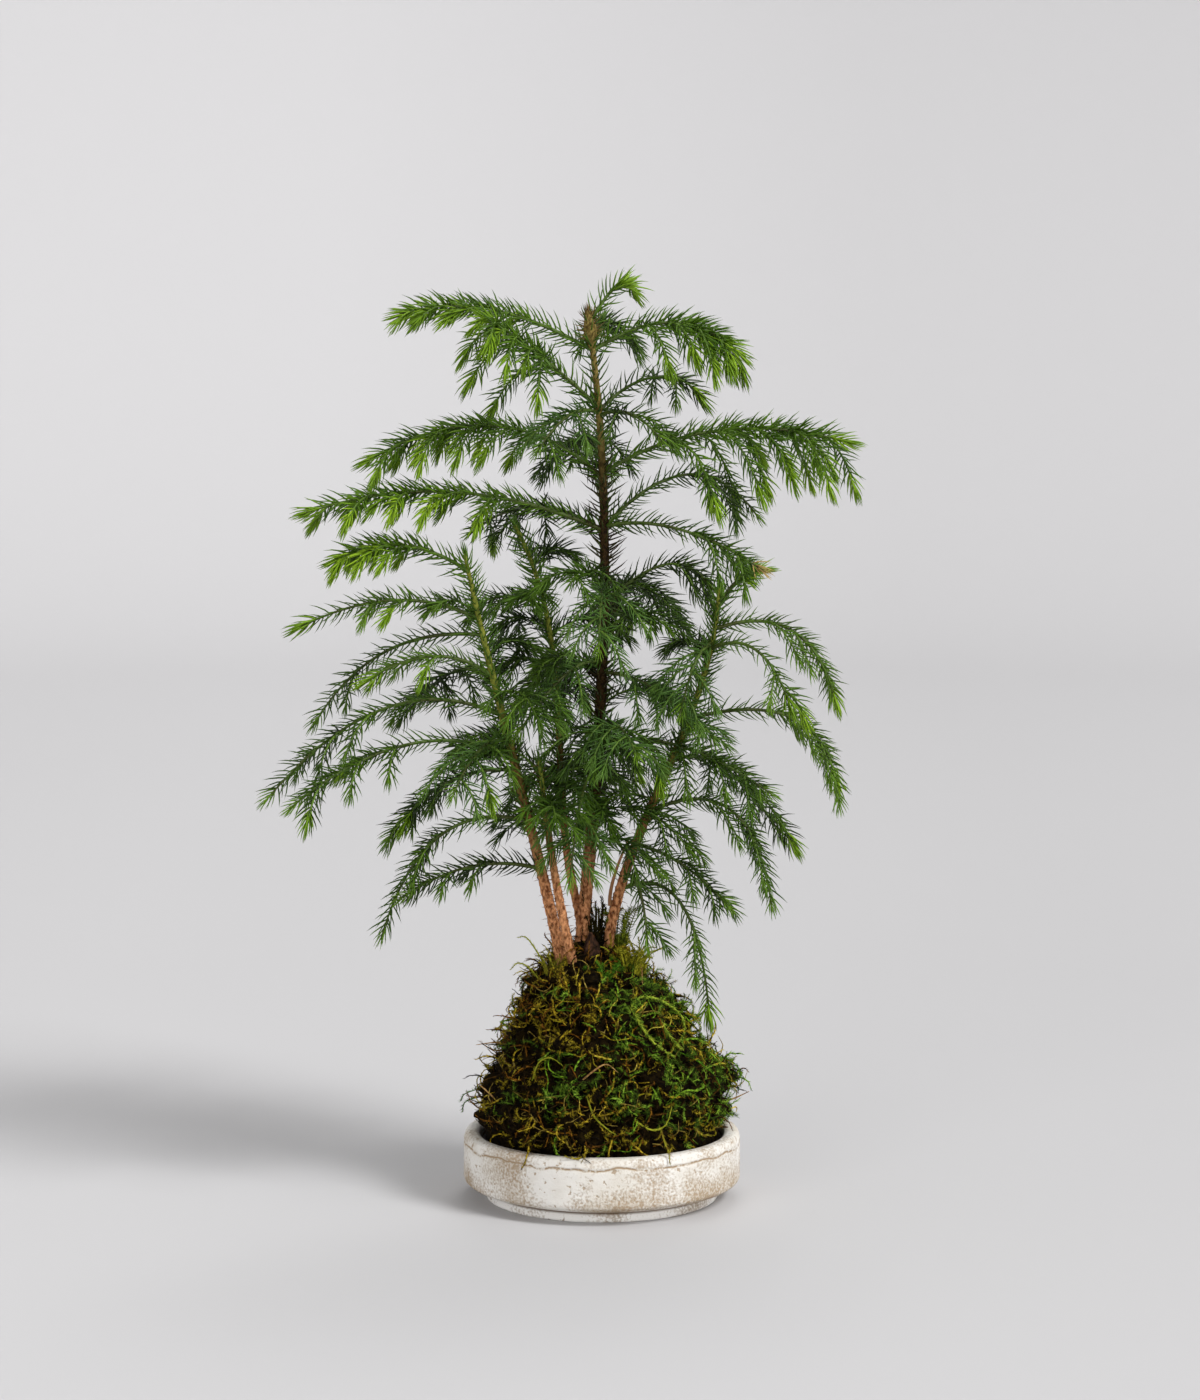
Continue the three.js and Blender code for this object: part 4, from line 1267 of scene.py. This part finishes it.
def makeMoss():
    core, masks = makeBallCore()
    tree = mossTree()
    thin = 1.0
    for seed, (name, row) in enumerate(mosses.items(), 1):
        make, length, radius, curl, rise, where, density, tilt, (least, most), colours = row
        meshes = []
        for n in range(moss["kinds"]):
            roll = dice(100 * seed + n)
            points, faces = make(curledPath(roll, length, moss["steps"], curl, rise), radius, roll)
            meshes.append((np.array(points) * mm, faces))
        shapes = shapeCollection(name, meshes)
        piece = grown(core, tree, name, {
            "Strands": shapes, "Shapes": moss["kinds"], "Where": where, "Density": density * thin,
            "Least Size": least, "Most Size": most, "Tilt": tilt, "Seed": seed,
            "Material": mossPaint(name, colours)})
        clearShapes(shapes)
        addPiece(piece, ["root_ball"])
    for name in masks:
        core.data.attributes.remove(core.data.attributes[name])
    addPiece(core, ["root_ball"])


def overBall(line):
    return [ballPoint(math.radians(degrees), z, lift) for degrees, z, lift in line]


wisps = {
    # single strands that stand out of the ball; points on lines are degrees round it, height and standing off
    "brightArcs": dict(make=shag, radius=1.0, steps=44, colours=("#a3b238", "#56711c"), lines=[
        [(296, 91, 1), (308, 97, 4), (324, 95, 6), (333, 87, 6), (327, 79, 4), (316, 75, 1)],
        [(300, 92, 1), (299, 85, 4), (303, 78, 5), (312, 72, 3)],
        [(318, 90, 2), (314, 83, 5), (318, 76, 4), (326, 72, 2)],
    ]),
    "goldWisps": dict(make=shag, radius=0.7, colours=("#9fa02e", "#80861f"), lines=[
        [(262, 58, 1), (266, 50, 4), (272, 44, 3), (276, 41, 1)],
        [(284, 47, 1), (291, 43, 4), (297, 45, 5), (302, 52, 2)],
        [(232, 62, 1), (236, 70, 4), (243, 73, 4), (249, 70, 1)],
    ], freeLines=[  # these in x, y and z
        [(-24, -6, 105), (-29, -8, 114), (-34, -9, 121), (-38, -8, 121)],
        [(-27, -9, 100), (-33, -12, 108), (-38, -13, 110), (-41, -12, 107)],
    ]),
    "tanStalks": dict(make=thread, radius=0.45, colours=("#a98752", "#7d5a34"), lines=[
        [(257, 62, 1), (266, 69, 5), (273, 72, 5), (278, 68, 3)],
        [(188, 71, -1), (187, 72, 6), (186, 71, 14)],
        [(358, 43, 0), (358, 46, 7), (357, 49, 12)],
        [(212, 50, 0), (206, 55, 6), (203, 57, 9)],
        [(330, 100, 0), (335, 106, 6), (337, 109, 8)],
    ]),
    "greenWisps": dict(make=frond, radius=0.5, steps=18, colours=("#5a8a1c", "#3f6a14"), lines=[
        [(186, 47, 0), (184, 44, 6), (182, 39, 7)],
        [(182, 50, 0), (180, 47, 6), (178, 43, 8)],
        [(356, 66, 0), (359, 62, 8), (2, 52, 8), (3, 43, 3)],
        [(320, 73, 1), (326, 68, 5), (331, 61, 6), (335, 54, 3)],
        [(290, 84, 1), (296, 79, 5), (301, 73, 5), (305, 67, 2)],
    ]),
    "looseDark": dict(make=shag, radius=0.5, colours=("#54390c", "#211505"), loose=50),
    "looseOlive": dict(make=shag, radius=0.48, colours=("#a3961f", "#4f490e"), loose=40),
    "looseGold": dict(make=shag, radius=0.42, colours=("#d2c84a", "#7f781f"), loose=16),
    "looseGreen": dict(make=shag, radius=0.46, colours=("#7ba624", "#3b5a0e"), loose=20, turns=(240, 400)),
    "rimStrands": dict(make=shag, radius=0.8, colours=("#9a952c", "#6f5a1a"), lines=[
        [(296, 44, 1), (297, 37, 5), (298, 33, 8.4), (298, 27.5, 10.4)],
        [(240, 40, 0), (236, 36, 3), (232, 35, 4)],
        [(318, 40, 0), (322, 36, 3), (327, 35, 5)],
    ]),
}
tufts = {
    # upright threads among the feet of the stems
    "darkTuft": dict(make=shag, foot=(-2.6, 5, 107), spread=3.2, count=46, tall=(12, 34),
                     curl=0.2, splay=0.3, radius=0.8, colours=("#39340f", "#1c1807")),
    "oliveTuft": dict(make=shag, foot=(12, -5, 103), spread=8.5, count=60, tall=(6, 16),
                      curl=1.5, splay=1, radius=0.85, colours=("#b2ac2e", "#656a1a")),
    "mossTuft": dict(make=frond, foot=(7, 7, 108), spread=4.0, count=30, tall=(10, 27),
                     curl=0.3, splay=0.5, radius=0.7, colours=("#7f8c26", "#454f12")),
    "greenTuft": dict(make=frond, foot=(0, -15, 101), spread=9.0, count=34, tall=(6, 12),
                      curl=0.7, splay=1, radius=0.5, colours=("#5a8a22", "#35590f")),
    "leftTuft": dict(make=shag, foot=(-21, -10, 103), spread=6.0, count=22, tall=(7, 14),
                     curl=0.9, splay=1, radius=0.5, colours=("#95902a", "#565718")),
}
lineSteps = 12


def smoothLine(points, steps=lineSteps):
    line = np.array(points, float)
    knots = np.vstack([2 * line[0] - line[1], line, 2 * line[-1] - line[-2]])
    path = []
    for i in range(steps + 1):
        place = i / steps * (len(line) - 1)
        k = min(int(place), len(line) - 2)
        t = place - k
        a, b, c, d = knots[k:k + 4]
        path.append(0.5 * (2 * b + (c - a) * t + (2 * a - 5 * b + 4 * c - d) * t * t
                           + (3 * b - a - 3 * c + d) * t ** 3))
    return np.array(path)


def joinedMesh(name, parts, material):
    points, faces = [], []
    for partPoints, partFaces in parts:
        start = len(points)
        points += [p * mm for p in partPoints]
        faces += [tuple(start + i for i in face) for face in partFaces]
    return plainObject(name, points, faces, material)


loose = {
    # strands that wander over the ball and lift off it
    "heights": (36, 110),
    "stride": (2.5, 5),
    "swerve": 1.6,
    "lifts": (0, 3, 5, 4, 2),
    "lowest": 34,
    "highest": 112,
    "narrowest": 14,
}


def looseLine(roll, turns):
    turn, z = math.radians(blend(*turns, roll())), blend(*loose["heights"], roll())
    way, stride = fullTurn * roll(), blend(*loose["stride"], roll())
    line = []
    for lift in loose["lifts"]:
        line.append(ballPoint(turn, z, lift * (0.4 + 0.9 * roll())))
        way += (roll() - 0.5) * loose["swerve"]
        turn += stride * math.cos(way) / max(loose["narrowest"], ballRadius(z)[0])
        z = min(loose["highest"], max(loose["lowest"], z + stride * math.sin(way)))
    return line


def makeWisps():
    for seed, (name, spec) in enumerate(wisps.items(), seeds["wisps"]):
        roll = dice(seed)
        lines = [overBall(line) for line in spec.get("lines", ())] + spec.get("freeLines", [])
        lines += [looseLine(roll, spec.get("turns", (0, 360))) for _ in range(spec.get("loose", 0))]
        steps = spec.get("steps", lineSteps)
        parts = [spec["make"](smoothLine(line, steps), spec["radius"], roll) for line in lines]
        addPiece(joinedMesh(name, parts, mossPaint(name, spec["colours"])))


def makeTufts():
    for seed, (name, spec) in enumerate(tufts.items(), seeds["tufts"]):
        roll = dice(seed)
        parts = []
        for i in range(spec["count"]):
            turn = i * goldenTurn
            away = np.array([math.cos(turn), math.sin(turn), 0])
            foot = np.array(spec["foot"]) + away * spec["spread"] * roll()
            tall = blend(*spec["tall"], roll())
            curl = np.array([roll() - 0.5, roll() - 0.5, 0]) * tall * spec["curl"]
            lean = away * tall * spec["splay"]
            line = [
                foot,
                foot + up * tall * 0.4 + lean * 0.1,
                foot + up * tall * 0.8 + lean * 0.3 + curl * 0.4,
                foot + up * tall * (0.75 + 0.35 * roll()) + lean * 0.4 + curl,
            ]
            parts.append(spec["make"](smoothLine(line), spec["radius"], roll))
        addPiece(joinedMesh(name, parts, mossPaint(name, spec["colours"])))


saucer = {
    "profile": [
        (0, 0), (52.4, 0), (53.0, 0.8), (53.0, 4.1), (53.8, 4.8), (60.6, 7.0), (62.6, 8.4), (63, 10),
        (63, 27.5), (62.2, 30), (60.4, 31), (57.4, 31), (55.9, 30.1), (55.4, 28), (53.4, 12), (51, 5.6),
        (46, 4.4), (0, 4.4),
    ],
    "sides": 240,
    "step": 0.8,
    "wideStep": 6,         # inside the rough part
    "corner": 0.6,
    "roughFrom": 50,       # millimetres from the middle
    "wobble": 0.25,
    "pitDepth": 0.16,
    "grooveFrom": 58,
    "grooveHeight": 26.2,
    "grooveWidth": 0.5,
    "grooveWander": 0.9,
    "grooveDepth": 0.4,
}


# the profile with small round corners, and points no further apart than a step
def roundedProfile():
    line = [np.array(p, float) for p in saucer["profile"]]
    soft = [line[0]]
    for a, b, c in zip(line, line[1:], line[2:]):
        start = blend(b, a, min(0.4, saucer["corner"] / np.linalg.norm(a - b)))
        end = blend(b, c, min(0.4, saucer["corner"] / np.linalg.norm(c - b)))
        soft += [start, 0.25 * start + 0.5 * b + 0.25 * end, end]
    fine = [soft[0]]
    for a, b in zip(soft, soft[1:] + [line[-1]]):
        step = saucer["step"] if a[0] > saucer["roughFrom"] else saucer["wideStep"]
        count = max(1, round(np.linalg.norm(b - a) / step))
        fine += [blend(a, b, i / count) for i in range(1, count + 1)]
    return fine[1:-1]


def makeSaucer():
    profile = roundedProfile()
    sides = saucer["sides"]
    points = []
    for r, z in profile:
        for turn in turnsOf(sides):
            place = Vector((r * math.cos(turn), r * math.sin(turn), z))
            out = r
            if r > saucer["roughFrom"]:
                out += saucer["wobble"] * noise.noise(place * 0.05)
                out += saucer["pitDepth"] * noise.fractal(place * 0.5, 0.7, 2.1, 3)
            if r > saucer["grooveFrom"]:
                around = Vector((place.x, place.y, 9))
                line = saucer["grooveHeight"] + saucer["grooveWander"] * noise.noise(around * 0.08)
                deep = max(0, noise.noise(around * 0.05 + Vector((0, 0, 4))) + 0.4)
                out -= saucer["grooveDepth"] * deep * math.exp(-((z - line) / saucer["grooveWidth"]) ** 2)
            points.append((out * math.cos(turn) * mm, out * math.sin(turn) * mm, z * mm))
    dish = plainObject("saucerDish", points, ringFaces(len(profile), sides), clayPaint())
    addPiece(dish, ["saucer"])


clay = {
    # chalky whitewash over tan clay; heights in metres
    "chalk": ("#e3e0da", "#d3cdc2"),
    # painted light: the foot ring below these heights is near white, as if lit under the overhang
    "footPaintedLight": "#fbf9f4",
    "footTop": (0.0042, 0.0052),
    "worn": "#9c8465",
    "wornFrom": (0.51, 0.77),
    "wornMost": 0.85,
    # the dark line where the foot meets the bevel: partly stain in the seam, partly painted shade in the
    # crease
    "seamStainAndShade": "#6b543a",
    "seamHeight": 0.0048,
    "seamWidth": (0.0003, 0.0014),
    "crackWidth": (0.0001, 0.0009),
    "crackWander": 0.0014,
    "speckFrom": (0.64, 0.69),
    "speckMost": 0.75,
}


def clayPaint():
    material, tree, shader = newMaterial("whitewash", 0.9, 0.1)
    place = objectPlace(tree)
    z = addNode(tree, "ShaderNodeSeparateXYZ", Vector=place).outputs["Z"]
    chalk = drifting(tree, *clay["chalk"], 55, place, 0.35, 0.7)
    # painted light: the foot ring turns near white, as if lit beneath the overhang
    chalk = mixed(tree, mapped(tree, z, *clay["footTop"], 1.0, 0.0), chalk, linear(clay["footPaintedLight"]))
    grain = noiseOf(tree, place, 900.0, 3.0)

    # worn in clouds, and more just over the foot
    cloud = noiseOf(tree, place, 34.0, 5.0)
    overFoot = mapped(tree, z, 0.009, 0.021, 0.15, 0.0)
    overFoot = calc(tree, "MULTIPLY", overFoot, mapped(tree, z, 0.005, 0.007, 0.3, 1.0))
    patina = calc(tree, "ADD", cloud, overFoot)
    patina = calc(tree, "ADD", patina, mapped(tree, grain, 0.35, 0.65, -0.11, 0.11))
    worn = mapped(tree, patina, *clay["wornFrom"], 0.0, clay["wornMost"])

    # a broken line along the groove
    wander = noiseOf(tree, objectPlace(tree, (1, 1, 0)), 60.0, 4.0)
    line = calc(tree, "ADD", z, mapped(tree, wander, 0.3, 0.7, clay["crackWander"], -clay["crackWander"]))
    away = calc(tree, "ABSOLUTE", calc(tree, "SUBTRACT", line, saucer["grooveHeight"] * mm))
    broken = mapped(tree, calc(tree, "ADD", wander, grain), 0.8, 1.02, 0.2, 1.0)
    crack = calc(tree, "MULTIPLY", mapped(tree, away, *clay["crackWidth"], 1.0, 0.0), broken, clamp=True)

    specks = mapped(tree, noiseOf(tree, place, 330.0, 2.0), *clay["speckFrom"], 0.0, clay["speckMost"])
    stain = calc(tree, "MAXIMUM", calc(tree, "MAXIMUM", worn, crack), specks, clamp=True)
    stained = mixed(tree, stain, chalk, linear(clay["worn"]))
    # a dark line at the seam: partly stain, partly painted shade in the crease under the overhang
    fromSeam = calc(tree, "ABSOLUTE", calc(tree, "SUBTRACT", z, clay["seamHeight"]))
    seamStainAndShade = mapped(tree, fromSeam, *clay["seamWidth"], clay["wornMost"], 0.0)
    plug(tree, shader.inputs["Base Color"], mixed(tree, seamStainAndShade, stained, linear(clay["seamStainAndShade"])))
    pits = calc(tree, "SUBTRACT", calc(tree, "MULTIPLY", grain, 0.5), stain)
    bumped(tree, shader, pits, 0.5, 0.0006)
    return material


makeCamera()
makeStudio()
print("studio ready")

makeSaucer()
print("saucer ready")

makeStems()
makeDeadStub()
print("stems ready")

sprays = growSprays()
makeTwigs(sprays)
makeNeedles(sprays)
print("needles ready")

makeMoss()
makeWisps()
makeTufts()
print("moss ready")
